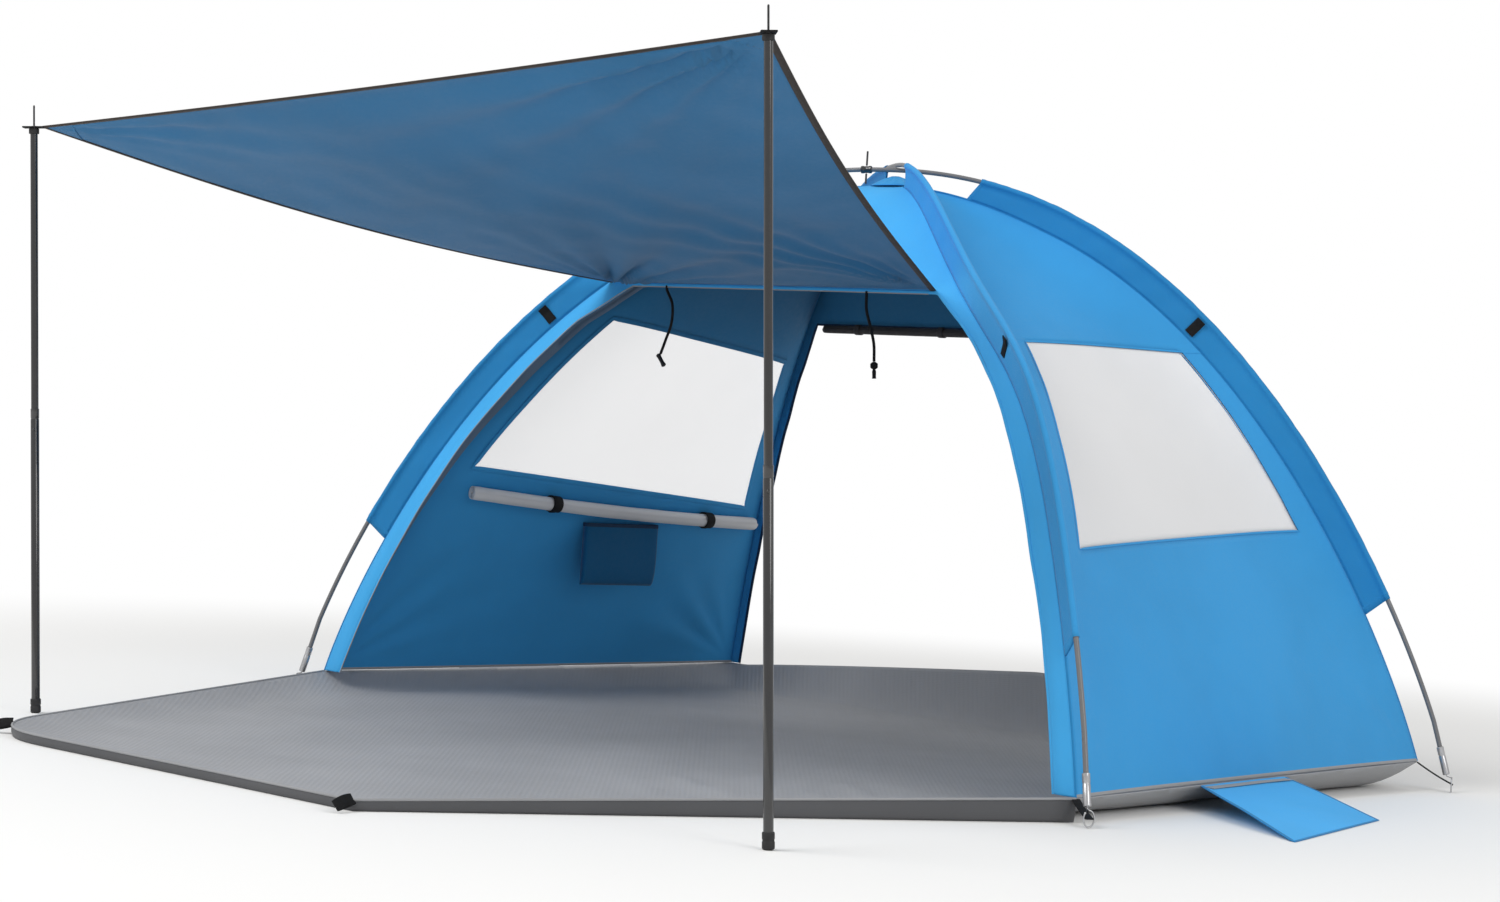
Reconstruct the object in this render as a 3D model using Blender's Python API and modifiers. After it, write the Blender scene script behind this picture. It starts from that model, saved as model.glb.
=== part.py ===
"""Beach tent: two crossed arch poles carry a fabric body, with a porch floor and a pole-held awning.

Metres, +Z up. The opening faces -Y and the crossing of the arches stands near the origin.
"""

import math

import bmesh
import bpy
from mathutils import Vector

# Arch poles
CROWN_HEIGHT = 1.350
CROWN_SETBACK = 0.040
FRONT_FOOT_OUT = 1.250
FRONT_FOOT_FORWARD = 0.672
REAR_FOOT_OUT = 1.170
REAR_FOOT_BACK = 0.750
POLE_RADIUS = 0.0055
FRONT_CURVE_SHARES = (2.26, 0.80)
REAR_CURVE_SHARES = (2.146, 0.823)
SHOULDER_DIPS = {"right": 0.130, "left": 0.016}
SHOULDER_END_SHARES = {"right": 0.820, "left": 1.0}
TAIL_SHARE = 0.965
POLE_TIP_LIFT = 0.072

# Fits and fabric
FIT_GAP = 0.0004
FABRIC = 0.0020
SLEEVE_FABRIC = 0.0012
MESH_FABRIC = 0.0010
SEAM_GAP = 0.0015
CUT_OVERRUN = 0.200

# Ferrules, ground rings and corner webbing
FERRULE_RADIUS = 0.0080
FERRULE_LENGTH = 0.064
FERRULE_SOCKET = 0.034
WIRE_RADIUS = 0.0017
RING_HALF_WIDTH = 0.0110
RING_HALF_HEIGHT = 0.0160
RING_FLOOR_GAP = 0.0004
PIN_LENGTH = 0.058
WEBBING_WIDTH = 0.0178
WEBBING_THICKNESS = 0.0025
FRONT_WEBBING_SEAT = 0.0024
REAR_WEBBING_SEAT = 0.0012

# Crown clip and crown patch
CLIP_SHARE = 0.050
CLIP_RADIUS = 0.0090
CLIP_LENGTH = 0.026
CLIP_BORE_ROOM = 0.0013
CLIP_PIN_RADIUS = 0.0024
CLIP_PIN_UP = 0.044
CLIP_PIN_DOWN = 0.034
PATCH_HALF_WIDTH = 0.0585
PATCH_HALF_DEPTH = 0.0415
PATCH_HEIGHT = 0.024
PATCH_LIFT = 0.0005

# Fabric body
SLEEVE_WIDTH = 0.060
CROWN_SLEEVE_WIDTH = 0.038
SLEEVE_FULL_SHARE = 0.300
WALL_SAG = 0.090
CROWN_SHARE = 0.040
HEM_SHARES = {"front": 0.990, "rear": 0.984}
ROW_EASE = 1.6
WALL_COLUMNS = 8
WALL_ROWS = 26
PANEL_COLUMNS = 4
FRONT_JAMB = 0.056
FRONT_CORNER_JAMB = 0.080
FRONT_CORNER_DROP = 0.090
FRONT_EAVE_HEIGHT = 1.044
REAR_JAMB = 0.030
REAR_EAVE_HEIGHT = 0.998

# Pole sleeves and their black tabs
SLEEVE_START_SHARE = 0.150
CROWN_START_SHARE = 0.054
SLEEVE_END_SHARES = {("front", "right"): 0.913, ("front", "left"): 0.887,
                     ("rear", "right"): 0.877, ("rear", "left"): 0.877}
SLEEVE_SLANT_SHARE = 0.018
SLEEVE_ROWS = 26
SLEEVE_LAYER_HALF = 0.0016
TUNNEL_RADIUS = 0.0068
TUNNEL_STEPS = 7
TUNNEL_OPENING_DEGREES = 40.0
TAB_SHARES = {("front", "right"): 0.580, ("front", "left"): 0.600,
              ("rear", "right"): 0.545, ("rear", "left"): 0.545}
TAB_LENGTH = 0.044
TAB_WIDTH = 0.022
TAB_THICKNESS = 0.0030
TAB_CENTRE = 0.036
TAB_SEAT = 0.0021

# Windows: (across, down) shares of the wall, front top, rear top, rear bottom, front bottom
WINDOW_SHARES = {
    "right": ((0.310, 0.536), (0.955, 0.572), (0.931, 0.806), (0.121, 0.840)),
    "left": ((0.114, 0.579), (0.894, 0.622), (0.934, 0.834), (0.088, 0.812)),
}
WINDOW_BULGE_SHARE = 0.003
WINDOW_EDGE_POINTS = 6
WINDOW_GAP = 0.0005

# Rolled window covers and their straps: across shares, height below the window
COVER_RADIUS = 0.0190
COVER_START_SHARE = 0.110
COVER_END_SHARE = 0.960
COVER_SHARES = {"right": (0.862, 0.832), "left": (0.836, 0.852)}
COVER_DROOP = 0.012
COVER_POINTS = 12
COVER_CLEARANCE = 0.0024
STRAP_SHARES = (0.330, 0.790)
STRAP_WIDTH = 0.022
STRAP_THICKNESS = 0.0016

# Pocket on the left wall
POCKET_SHARES = (0.455, 0.660)
POCKET_TOP_SHARE = 0.864
POCKET_HEIGHT = 0.155
POCKET_DEPTH = 0.020
POCKET_FABRIC = 0.0016
POCKET_CLEARANCE = 0.0022

# Rolled rear door
DOOR_ROLL_RADIUS = 0.0115
DOOR_ROLL_INSET = 0.030

# Floor
FLOOR_THICKNESS = 0.0030
FLOOR_EDGE_BAND = 0.110
FLOOR_RING_SHARES = (0.0, 0.30, 0.62, 1.0)
FLOOR_SEAT = 0.0014
PORCH_LEFT_OUT = 0.550
PORCH_LEFT_FORWARD = 1.975
PORCH_RIGHT_OUT = 0.600
PORCH_RIGHT_FORWARD = 1.932
PORCH_EDGE_LIFT = 0.018
PORCH_CORNER_RADIUS = 0.200
SILL_RISE = 0.088
SILL_START_SHARE = 0.030
EDGE_STEPS = 6
LOOP_LENGTH = 0.046
LOOP_WIDTH = 0.022
LOOP_SEAT = 0.0010
LEFT_LOOP_DEGREES = -40.0
RIGHT_LOOP_DEGREES = 12.0
LOOP_THICKNESS = 0.0025

# Sand flaps at the side hems
FLAP_START_SHARE = 0.330
FLAP_END_SHARE = 0.570
FLAP_FRONT_LENGTH = 0.372
FLAP_REAR_LENGTH = 0.262
FLAP_FLARE = 0.0835
FLAP_SKEW = 0.1235
FLAP_FABRIC = 0.0016
FLAP_HEM_GAP = 0.0007
FLAP_TIP_LIFT = 0.0005

# Awning poles: foot places, top heights, lean for each metre of height
AWNING_RIGHT_FOOT = (1.219, -1.515)
AWNING_LEFT_FOOT = (-0.870, -1.655)
AWNING_RIGHT_TOP = 1.398
AWNING_LEFT_TOP = 1.268
AWNING_LEAN_SHARES = (-0.0410, -0.0525)
LOWER_TUBE_RADIUS = 0.0092
LOWER_TUBE_BORE = 0.0084
UPPER_TUBE_RADIUS = 0.0080
UPPER_TUBE_BORE = 0.0071
TUBE_OVERLAP = 0.160
TUBE_SPLIT = 0.660
FOOT_RADIUS = 0.0112
FOOT_HEIGHT = 0.030
FOOT_SOLE = 0.006
CAP_RADIUS = 0.0110
CAP_HEIGHT = 0.012
CAP_PLUG_LENGTH = 0.030
SPIKE_RADIUS = 0.0020
SPIKE_LENGTH = 0.046
TOP_TAB_LENGTH = 0.046
TOP_TAB_WIDTH = 0.030
TOP_TAB_THICKNESS = 0.0040
TOP_TAB_HOLE = 0.0028

# Awning
AWNING_FABRIC = 0.0016
AWNING_SAG = 0.035
AWNING_EDGE_BOW = 0.030
AWNING_COLUMNS = 16
AWNING_ROWS = 16
AWNING_EAVE_SHARES = {"left": 0.985, "right": 0.840}
AWNING_EAVE_GAP = 0.0030
AWNING_EAVE_RAISE = 0.006
FOLD_HEIGHT = 0.010
FOLD_COUNT = 4

# Toggle cords: routes from the eave down, measured from the eave's middle
CORD_RADIUS = 0.0040
CORD_STEP = 0.018
LEFT_CORD_ROUTE = ((-0.405, 0.0, 0.0), (-0.405, 0.0, -0.010), (-0.377, -0.006, -0.045), (-0.372, -0.010, -0.090),
                   (-0.386, -0.012, -0.130), (-0.400, -0.012, -0.163))
RIGHT_CORD_ROUTE = ((0.197, 0.0, 0.0), (0.197, 0.0, -0.010), (0.206, -0.006, -0.045), (0.226, -0.010, -0.085),
                    (0.240, -0.012, -0.120), (0.244, -0.012, -0.158))
TOGGLE_RADIUS = 0.0060
TOGGLE_LENGTH = 0.034
KNOT_RADIUS = 0.0090
KNOT_TAIL_RADIUS = 0.0042
KNOT_TAIL_LENGTH = 0.020

# Facets
ROUND_STEPS = 16
TUBE_RESOLUTION = 2

SIDES = ("right", "left")

COLOURS = {
    "sky_fabric": ((0.052, 0.350, 0.730, 1.0), 0.75, 0.0),
    "sleeve_fabric": ((0.026, 0.240, 0.590, 1.0), 0.75, 0.0),
    "shade_fabric": ((0.030, 0.120, 0.250, 1.0), 0.80, 0.0),
    "grey_fabric": ((0.270, 0.275, 0.290, 1.0), 0.80, 0.0),
    "pale_mesh": ((0.760, 0.760, 0.770, 1.0), 0.85, 0.0),
    "dark_fabric": ((0.040, 0.042, 0.050, 1.0), 0.85, 0.0),
    "black_webbing": ((0.006, 0.006, 0.007, 1.0), 0.70, 0.0),
    "grey_fibreglass": ((0.130, 0.130, 0.135, 1.0), 0.40, 0.0),
    "dark_steel": ((0.055, 0.055, 0.060, 1.0), 0.28, 0.9),
    "bright_steel": ((0.620, 0.620, 0.630, 1.0), 0.25, 1.0),
    "black_rubber": ((0.010, 0.010, 0.011, 1.0), 0.60, 0.0),
}

materials = {}
parts = None
cutters = None


def start_scene():
    global parts, cutters
    for item in list(bpy.data.objects):
        bpy.data.objects.remove(item, do_unlink=True)
    parts = bpy.data.collections.new("beach_tent")
    cutters = bpy.data.collections.new("beach_tent_cutters")
    bpy.context.scene.collection.children.link(parts)
    bpy.context.scene.collection.children.link(cutters)
    for name, (colour, roughness, metallic) in COLOURS.items():
        made = bpy.data.materials.new(name)
        made.use_nodes = True
        shader = made.node_tree.nodes["Principled BSDF"]
        shader.inputs["Base Color"].default_value = colour
        shader.inputs["Roughness"].default_value = roughness
        shader.inputs["Metallic"].default_value = metallic
        made.diffuse_color = colour
        materials[name] = made


def add_object(name, data, material, location=None, direction=None, parent=None):
    made = bpy.data.objects.new(name, data)
    parts.objects.link(made)
    made.data.materials.append(materials[material])
    if location is not None:
        made.location = location
    if direction is not None:
        made.rotation_euler = Vector(direction).to_track_quat("Z", "Y").to_euler()
    if parent is not None:
        made.parent = parent
    return made


def mesh_from(name, builder):
    mesh = bpy.data.meshes.new(name)
    cage = bmesh.new()
    builder(cage)
    cage.to_mesh(mesh)
    cage.free()
    return mesh


# Shape helpers


def surface(name, place, columns, rows, thickness, material, location=None):
    """A grid whose vertices are placed by place(across, down), both 0 to 1, thickened by Solidify."""
    def build(cage):
        unit = 1.0
        bmesh.ops.create_grid(cage, x_segments=columns, y_segments=rows, size=unit)
        for vertex in cage.verts:
            across = (vertex.co.x / unit + 1.0) / 2.0
            down = (1.0 - vertex.co.y / unit) / 2.0
            vertex.co = place(across, down)
    made = add_object(name, mesh_from(name, build), material, location)
    made.data.shade_smooth()
    solid = made.modifiers.new("thickness", "SOLIDIFY")
    solid.thickness = thickness
    solid.offset = 0.0
    solid.use_even_offset = True
    return made


def tube(name, points, radius, material, resolution=TUBE_RESOLUTION):
    curve = bpy.data.curves.new(name, "CURVE")
    curve.dimensions = "3D"
    curve.bevel_depth = radius
    curve.bevel_resolution = resolution
    curve.use_fill_caps = True
    spline = curve.splines.new("POLY")
    spline.points.add(len(points) - 1)
    for spot, point in zip(spline.points, points):
        spot.co = (*point, 1.0)
    return add_object(name, curve, material)


def turned(name, profile, material, location=None, direction=None, closed=False, parent=None):
    """A profile of (radius, height) pairs, read down its outer side, turned about its own Z."""
    def build(cage):
        spots = [cage.verts.new((radius, 0.0, height)) for radius, height in profile]
        for first, second in zip(spots, spots[1:]):
            cage.edges.new((first, second))
        if closed:
            cage.edges.new((spots[-1], spots[0]))
    made = add_object(name, mesh_from(name, build), material, location, direction, parent)
    screw = made.modifiers.new("turn", "SCREW")
    screw.steps = ROUND_STEPS
    screw.render_steps = ROUND_STEPS
    screw.use_merge_vertices = True
    screw.merge_threshold = 0.0001
    return made


def hollow_profile(outer, bore, bottom, top):
    return [(outer, top), (outer, bottom), (bore, bottom), (bore, top)]


def prism(name, outline, axis, start, end):
    """A cutter: an outline in the plane square to X or Y, run from start to end along that axis."""
    def build(cage):
        if axis == "X":
            spots = [cage.verts.new((start, first, second)) for first, second in outline]
            travel = (end - start, 0.0, 0.0)
        else:
            spots = [cage.verts.new((first, start, second)) for first, second in outline]
            travel = (0.0, end - start, 0.0)
        face = cage.faces.new(spots)
        grown = bmesh.ops.extrude_face_region(cage, geom=[face])
        moved = [item for item in grown["geom"] if isinstance(item, bmesh.types.BMVert)]
        bmesh.ops.translate(cage, verts=moved, vec=travel)
        bmesh.ops.recalc_face_normals(cage, faces=cage.faces)
    made = bpy.data.objects.new(name, mesh_from(name, build))
    cutters.objects.link(made)
    made.hide_render = True
    made.display_type = "WIRE"
    return made


def cut(target, cutter, operation):
    change = target.modifiers.new(cutter.name, "BOOLEAN")
    change.operation = operation
    change.solver = "EXACT"
    change.object = cutter


def strip(name, start, end, width, thickness, material, facing):
    """A flat strap from start to end whose broad side turns towards facing."""
    along = (end - start).normalized()
    side = facing.cross(along).normalized()
    up = along.cross(side).normalized()

    def build(cage):
        bmesh.ops.create_cube(cage, size=1.0)
        for vertex in cage.verts:
            spot = start + (end - start) * (vertex.co.x + 0.5)
            vertex.co = spot + side * width * vertex.co.y + up * thickness * vertex.co.z
    return add_object(name, mesh_from(name, build), material)


def offset_outline(points, distance):
    """The outline of (x, y) points, anticlockwise, moved inward by distance."""
    moved = []
    count = len(points)
    for index in range(count):
        before = Vector(points[index - 1])
        here = Vector(points[index])
        after = Vector(points[(index + 1) % count])
        first = (here - before).normalized()
        second = (after - here).normalized()
        first_side = Vector((-first.y, first.x))
        second_side = Vector((-second.y, second.x))
        bisector = (first_side + second_side).normalized()
        reach = distance / max(bisector.dot(first_side), 0.5)
        moved.append(here + bisector * reach)
    return moved


def smooth_route(points, step):
    """Points about a step apart on a smooth curve through the given ones."""
    spots = [Vector(point) for point in points]
    spots = [spots[0] * 2.0 - spots[1]] + spots + [spots[-1] * 2.0 - spots[-2]]
    route = []
    for index in range(1, len(spots) - 2):
        before, start, end, after = spots[index - 1:index + 3]
        count = max(1, round((end - start).length / step))
        for number in range(count):
            t = number / count
            route.append(0.5 * (2.0 * start + (end - before) * t
                                + (2.0 * before - 5.0 * start + 4.0 * end - after) * t ** 2
                                + (3.0 * start - before - 3.0 * end + after) * t ** 3))
    route.append(spots[-2])
    return route


# Lines of the frame


def outward_sign(side):
    return 1.0 if side == "right" else -1.0


def foot_of(end, side):
    if end == "front":
        return Vector((outward_sign(side) * FRONT_FOOT_OUT, -FRONT_FOOT_FORWARD, 0.0))
    return Vector((outward_sign(side) * REAR_FOOT_OUT, REAR_FOOT_BACK, 0.0))


def arch_point(end, side, share, lift=0.0):
    """A point on an arch, share 0 at the crown and 1 on the ground."""
    bend, drop = FRONT_CURVE_SHARES if end == "front" else REAR_CURVE_SHARES
    foot = foot_of(end, side)
    crown = Vector((0.0, CROWN_SETBACK, 0.0))
    spot = crown.lerp(foot, share)
    spot.z = (CROWN_HEIGHT + lift) * max(0.0, 1.0 - share ** bend) ** drop
    if end == "front" and share < SHOULDER_END_SHARES[side]:
        spot.z -= SHOULDER_DIPS[side] * math.sin(math.pi * share / SHOULDER_END_SHARES[side]) ** 2
    return spot


def sleeve_width(share):
    """The sleeve's width, which narrows towards the crown."""
    t = min(share / SLEEVE_FULL_SHARE, 1.0)
    return CROWN_SLEEVE_WIDTH + (SLEEVE_WIDTH - CROWN_SLEEVE_WIDTH) * t * t * (3.0 - 2.0 * t)


def corner_point(end, side, share):
    """A point on the body's corner seam, a sleeve's width inside the arch, square to it."""
    nudge = 0.001
    before = arch_point(end, side, max(share - nudge, 0.0))
    after = arch_point(end, side, min(share + nudge, 1.0))
    outward = foot_of(end, side) - Vector((0.0, CROWN_SETBACK, 0.0))
    outward.normalize()
    run = (after - before).dot(outward)
    rise = after.z - before.z
    inward = (outward * rise - Vector((0.0, 0.0, 1.0)) * run).normalized()
    return arch_point(end, side, share) + inward * sleeve_width(share)


def row_share(down, hem_share):
    return CROWN_SHARE + (hem_share - CROWN_SHARE) * (1.0 - (1.0 - down) ** ROW_EASE)


def hem_corner(end, side):
    return corner_point(end, side, HEM_SHARES[end])


def between(start, end, share):
    """A point on a line that keeps a seam gap to both its ends."""
    length = (end - start).length
    return start.lerp(end, (SEAM_GAP + (length - 2.0 * SEAM_GAP) * share) / length)


def wall_point(side, across, share):
    """A point on a side wall, across from the front seam to the rear one, drawn in between them."""
    spot = between(corner_point("front", side, share), corner_point("rear", side, share), across)
    spread = 1.0 - (2.0 * across - 1.0) ** 4
    spot.x -= outward_sign(side) * WALL_SAG * spread * math.sin(math.pi * share) ** 0.8
    return spot


def panel_point(end, across, share):
    """A point on the front or rear panel, across from its left seam to its right one."""
    return between(corner_point(end, "left", share), corner_point(end, "right", share), across)


def share_at_height(end, side, height):
    """The share at which a corner seam is at a height."""
    low, high = 0.0, 1.0
    for _ in range(40):
        middle = (low + high) / 2.0
        if corner_point(end, side, middle).z > height:
            low = middle
        else:
            high = middle
    return low


def panel_place(end, sideways, height):
    """The place on a panel that is a distance sideways of its middle and at a height."""
    low, high = CROWN_SHARE, 1.0
    for _ in range(40):
        share = (low + high) / 2.0
        left = corner_point(end, "left", share)
        right = corner_point(end, "right", share)
        spot = left.lerp(right, (sideways - left.x) / (right.x - left.x))
        if spot.z > height:
            low = share
        else:
            high = share
    return spot


# Frame


def tail_point(end, side, height_along):
    """A point on an arch's straight tail, measured up it from the ground."""
    foot = foot_of(end, side)
    along = (arch_point(end, side, TAIL_SHARE) - foot).normalized()
    return foot + along * height_along


def sleeve_start(end, side):
    """The upper arch's sleeve runs up to the crown, the lower arch's stops short of it."""
    return CROWN_START_SHARE if arch_lift(end, side) else SLEEVE_START_SHARE


def half_arch(end, side, lift):
    """Arch points from just off the crown to the pole's lower tip."""
    start = sleeve_start(end, side)
    finish = SLEEVE_END_SHARES[end, side]
    span = finish - start
    shares = []
    if start == SLEEVE_START_SHARE:
        shares += [CLIP_SHARE, (CLIP_SHARE + start) / 2.0]
    shares += [start + span * row / SLEEVE_ROWS for row in range(SLEEVE_ROWS + 1)]
    shares += [(finish * 2.0 + TAIL_SHARE) / 3.0, (finish + TAIL_SHARE * 2.0) / 3.0]
    points = [arch_point(end, side, share, lift) for share in shares]
    points.append(arch_point(end, side, TAIL_SHARE))
    points.append(tail_point(end, side, POLE_TIP_LIFT))
    return points


def arch_lift(end, side):
    """The arch from the front right foot passes over the other one at the crown."""
    over = (end == "front") == (side == "right")
    return 2.0 * POLE_RADIUS + FIT_GAP if over else 0.0


def make_arch(name, front_side, rear_side):
    lift = arch_lift("front", front_side)
    front = half_arch("front", front_side, lift)
    rear = half_arch("rear", rear_side, lift)
    crown = Vector((0.0, CROWN_SETBACK, CROWN_HEIGHT + lift))
    tube(name, front[::-1] + [crown] + rear, POLE_RADIUS, "grey_fibreglass", TUBE_RESOLUTION + 1)


def make_ferrule(end, side):
    base = POLE_TIP_LIFT + FERRULE_SOCKET - FERRULE_LENGTH
    place = tail_point(end, side, base)
    along = tail_point(end, side, POLE_TIP_LIFT) - place
    pin_bore = WIRE_RADIUS + FIT_GAP
    pole_bore = POLE_RADIUS + FIT_GAP
    shoulder = POLE_TIP_LIFT - FIT_GAP - base
    profile = [(FERRULE_RADIUS, FERRULE_LENGTH), (FERRULE_RADIUS, 0.0), (pin_bore, 0.0),
               (pin_bore, shoulder), (pole_bore, shoulder), (pole_bore, FERRULE_LENGTH)]
    turned(f"ferrule_{end}_{side}", profile, "bright_steel", place, along, closed=True)


def ring_centre(end, side):
    centre = foot_of(end, side)
    centre.z = RING_HALF_HEIGHT + WIRE_RADIUS + RING_FLOOR_GAP
    return centre


def make_ground_ring(end, side):
    """One bent wire: a pin up the ferrule that ends in an open ring standing on the ground."""
    centre = ring_centre(end, side)
    along = (tail_point(end, side, POLE_TIP_LIFT) - foot_of(end, side)).normalized()
    level = Vector((along.x, along.y, 0.0)).normalized()
    across = Vector((-level.y, level.x, 0.0))
    turns = 18
    missing = 2
    points = []
    for step in range(missing, turns + 1):
        angle = 2.0 * math.pi * step / turns
        points.append(centre + across * RING_HALF_WIDTH * math.sin(angle)
                      + Vector((0.0, 0.0, 1.0)) * RING_HALF_HEIGHT * math.cos(angle))
    top = points[-1]
    points.append(tail_point(end, side, (top.z + WIRE_RADIUS) / along.z + WIRE_RADIUS))
    points.append(tail_point(end, side, (top.z + WIRE_RADIUS) / along.z + PIN_LENGTH / 2.0))
    tube(f"ground_ring_{end}_{side}", points, WIRE_RADIUS, "bright_steel")


def make_corner_webbing(end, side):
    """A black strap from the floor's corner to the ring on the pole's foot."""
    corner = hem_corner(end, side)
    centre = ring_centre(end, side)
    towards = Vector((centre.x - corner.x, centre.y - corner.y, 0.0)).normalized()
    start = corner + towards * (FRONT_WEBBING_SEAT if end == "front" else REAR_WEBBING_SEAT)
    start.z = corner.z - FLOOR_SEAT - FLOOR_THICKNESS / 2.0
    end_point = centre + towards * WIRE_RADIUS * 2.0
    strip(f"corner_webbing_{end}_{side}", start, end_point, WEBBING_WIDTH, WEBBING_THICKNESS,
          "black_webbing", Vector((0.0, 0.0, 1.0)))


def make_crown_clip():
    """A clip on the lower arch, left of the crossing, with a pin through it."""
    place = arch_point("front", "left", CLIP_SHARE)
    before = arch_point("front", "left", 0.0)
    after = arch_point("front", "left", CLIP_SHARE * 2.0)
    along = (after - before).normalized()
    profile = hollow_profile(CLIP_RADIUS, POLE_RADIUS + CLIP_BORE_ROOM, -CLIP_LENGTH / 2.0, CLIP_LENGTH / 2.0)
    turned("crown_clip", profile, "dark_steel", place, along, closed=True)


def make_clip_pin(name, height_from, height_to):
    place = arch_point("front", "left", CLIP_SHARE)
    place.z += height_from
    profile = [(0.0, height_to - height_from), (CLIP_PIN_RADIUS, height_to - height_from),
               (CLIP_PIN_RADIUS, 0.0), (0.0, 0.0)]
    turned(name, profile, "dark_steel", place)


def make_crown_patch():
    """A low fabric peak over the hole where the four panels meet."""
    base = max(corner_point(end, side, CROWN_SHARE).z for end in ("front", "rear") for side in SIDES)
    base += PATCH_LIFT
    centre = Vector((0.0, CROWN_SETBACK, base))

    def build(cage):
        bmesh.ops.create_cone(cage, cap_ends=False, segments=4, radius1=1.0, radius2=0.16, depth=1.0)
        for vertex in cage.verts:
            turned_x = (vertex.co.x - vertex.co.y) / math.sqrt(2.0)
            turned_y = (vertex.co.x + vertex.co.y) / math.sqrt(2.0)
            vertex.co.x = turned_x * PATCH_HALF_WIDTH * math.sqrt(2.0)
            vertex.co.y = turned_y * PATCH_HALF_DEPTH * math.sqrt(2.0)
            vertex.co.z = (vertex.co.z + 0.5) * PATCH_HEIGHT
    made = add_object("crown_patch", mesh_from("crown_patch", build), "sky_fabric", centre)
    solid = made.modifiers.new("thickness", "SOLIDIFY")
    solid.thickness = FABRIC
    solid.offset = 0.0


# Fabric body


def window_outline(side, inset):
    """The window's edge in the plane square to X, as (y, z) points that follow the wall."""
    corners = WINDOW_SHARES[side]
    points = []
    for number, (start, end) in enumerate(zip(corners, corners[1:] + corners[:1])):
        for step in range(WINDOW_EDGE_POINTS):
            t = step / WINDOW_EDGE_POINTS
            across = start[0] + (end[0] - start[0]) * t
            down = start[1] + (end[1] - start[1]) * t
            if number == 1:
                across += WINDOW_BULGE_SHARE * math.sin(math.pi * t)
            spot = wall_point(side, across, down)
            points.append((spot.y, spot.z))
    points.reverse()
    return offset_outline(points, inset)


def make_wall(side):
    def place(across, down):
        hem_share = HEM_SHARES["front"] + (HEM_SHARES["rear"] - HEM_SHARES["front"]) * across
        return wall_point(side, across, row_share(down, hem_share))
    reach = outward_sign(side) * (FRONT_FOOT_OUT + CUT_OVERRUN)
    near = outward_sign(side) * CUT_OVERRUN
    wall = surface(f"wall_{side}", place, WALL_COLUMNS, WALL_ROWS, FABRIC, "sky_fabric")
    cut(wall, prism(f"window_hole_{side}", window_outline(side, 0.0), "X", near, reach), "DIFFERENCE")
    window = surface(f"window_{side}", place, WALL_COLUMNS, WALL_ROWS, MESH_FABRIC, "pale_mesh")
    cut(window, prism(f"window_edge_{side}", window_outline(side, WINDOW_GAP), "X", near, reach),
        "INTERSECT")


def doorway_side(end, side, jamb, eave, corner_jamb, corner_drop):
    """One side of the doorway in the plane square to Y, as (x, z) points from below up to the eave."""
    reach = outward_sign(side)
    start = share_at_height(end, side, eave - corner_drop)
    finish = HEM_SHARES[end]
    points = [(hem_corner(end, side).x - reach * jamb, -CUT_OVERRUN)]
    for row in range(WALL_ROWS + 1):
        spot = corner_point(end, side, finish + (start - finish) * row / WALL_ROWS)
        points.append((spot.x - reach * jamb, spot.z))
    if corner_drop > 0.0:
        seam = corner_point(end, side, share_at_height(end, side, eave))
        points.append((seam.x - reach * corner_jamb, eave))
    return points


def make_panel(end, jamb, eave, corner_jamb, corner_drop):
    def place(across, down):
        return panel_point(end, across, row_share(down, HEM_SHARES[end]))
    panel = surface(f"{end}_panel", place, PANEL_COLUMNS, WALL_ROWS, FABRIC, "sky_fabric")
    depth = foot_of(end, "right").y
    start, reach = sorted((CROWN_SETBACK, depth * (1.0 + CUT_OVERRUN)))
    right = doorway_side(end, "right", jamb, eave, corner_jamb, corner_drop)
    left = doorway_side(end, "left", jamb, eave, corner_jamb, corner_drop)
    cut(panel, prism(f"{end}_doorway", right + left[::-1], "Y", start, reach), "DIFFERENCE")


def sleeve_section(width):
    """The sleeve's folded strip in section, as (inward, sideways) places about the pole's centre."""
    seam = width - SEAM_GAP * 0.8
    gather = TUNNEL_RADIUS * 1.9
    points = [(seam, SLEEVE_LAYER_HALF), (gather, SLEEVE_LAYER_HALF * 1.1)]
    opening = math.radians(TUNNEL_OPENING_DEGREES)
    for step in range(TUNNEL_STEPS):
        angle = opening + (2.0 * math.pi - 2.0 * opening) * step / (TUNNEL_STEPS - 1)
        points.append((TUNNEL_RADIUS * math.cos(angle), TUNNEL_RADIUS * math.sin(angle)))
    points += [(gather, -SLEEVE_LAYER_HALF * 1.1), (seam, -SLEEVE_LAYER_HALF)]
    return points


def make_sleeve(end, side):
    """A folded strip from the corner seam round the pole and back, its ends cut on the slant."""
    lift = arch_lift(end, side)
    start = sleeve_start(end, side)
    columns = len(sleeve_section(SLEEVE_WIDTH)) - 1
    outward = foot_of(end, side) - Vector((0.0, CROWN_SETBACK, 0.0))
    outward.normalize()
    sideways = Vector((-outward.y, outward.x, 0.0)) * outward_sign(side)

    def place(across, down):
        index = round(across * columns)
        inward_share = sleeve_section(SLEEVE_WIDTH)[index][0] / SLEEVE_WIDTH
        slant = SLEEVE_SLANT_SHARE * max(inward_share, 0.0)
        slant_up = 0.0 if lift else slant
        share = start - slant_up + (SLEEVE_END_SHARES[end, side] - start + slant_up + slant) * down
        pole = arch_point(end, side, share, lift)
        seam = corner_point(end, side, share)
        inward, aside = sleeve_section((seam - pole).length)[index]
        return pole + (seam - pole).normalized() * inward + sideways * aside
    surface(f"sleeve_{end}_{side}", place, columns, SLEEVE_ROWS, SLEEVE_FABRIC, "sleeve_fabric")


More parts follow.
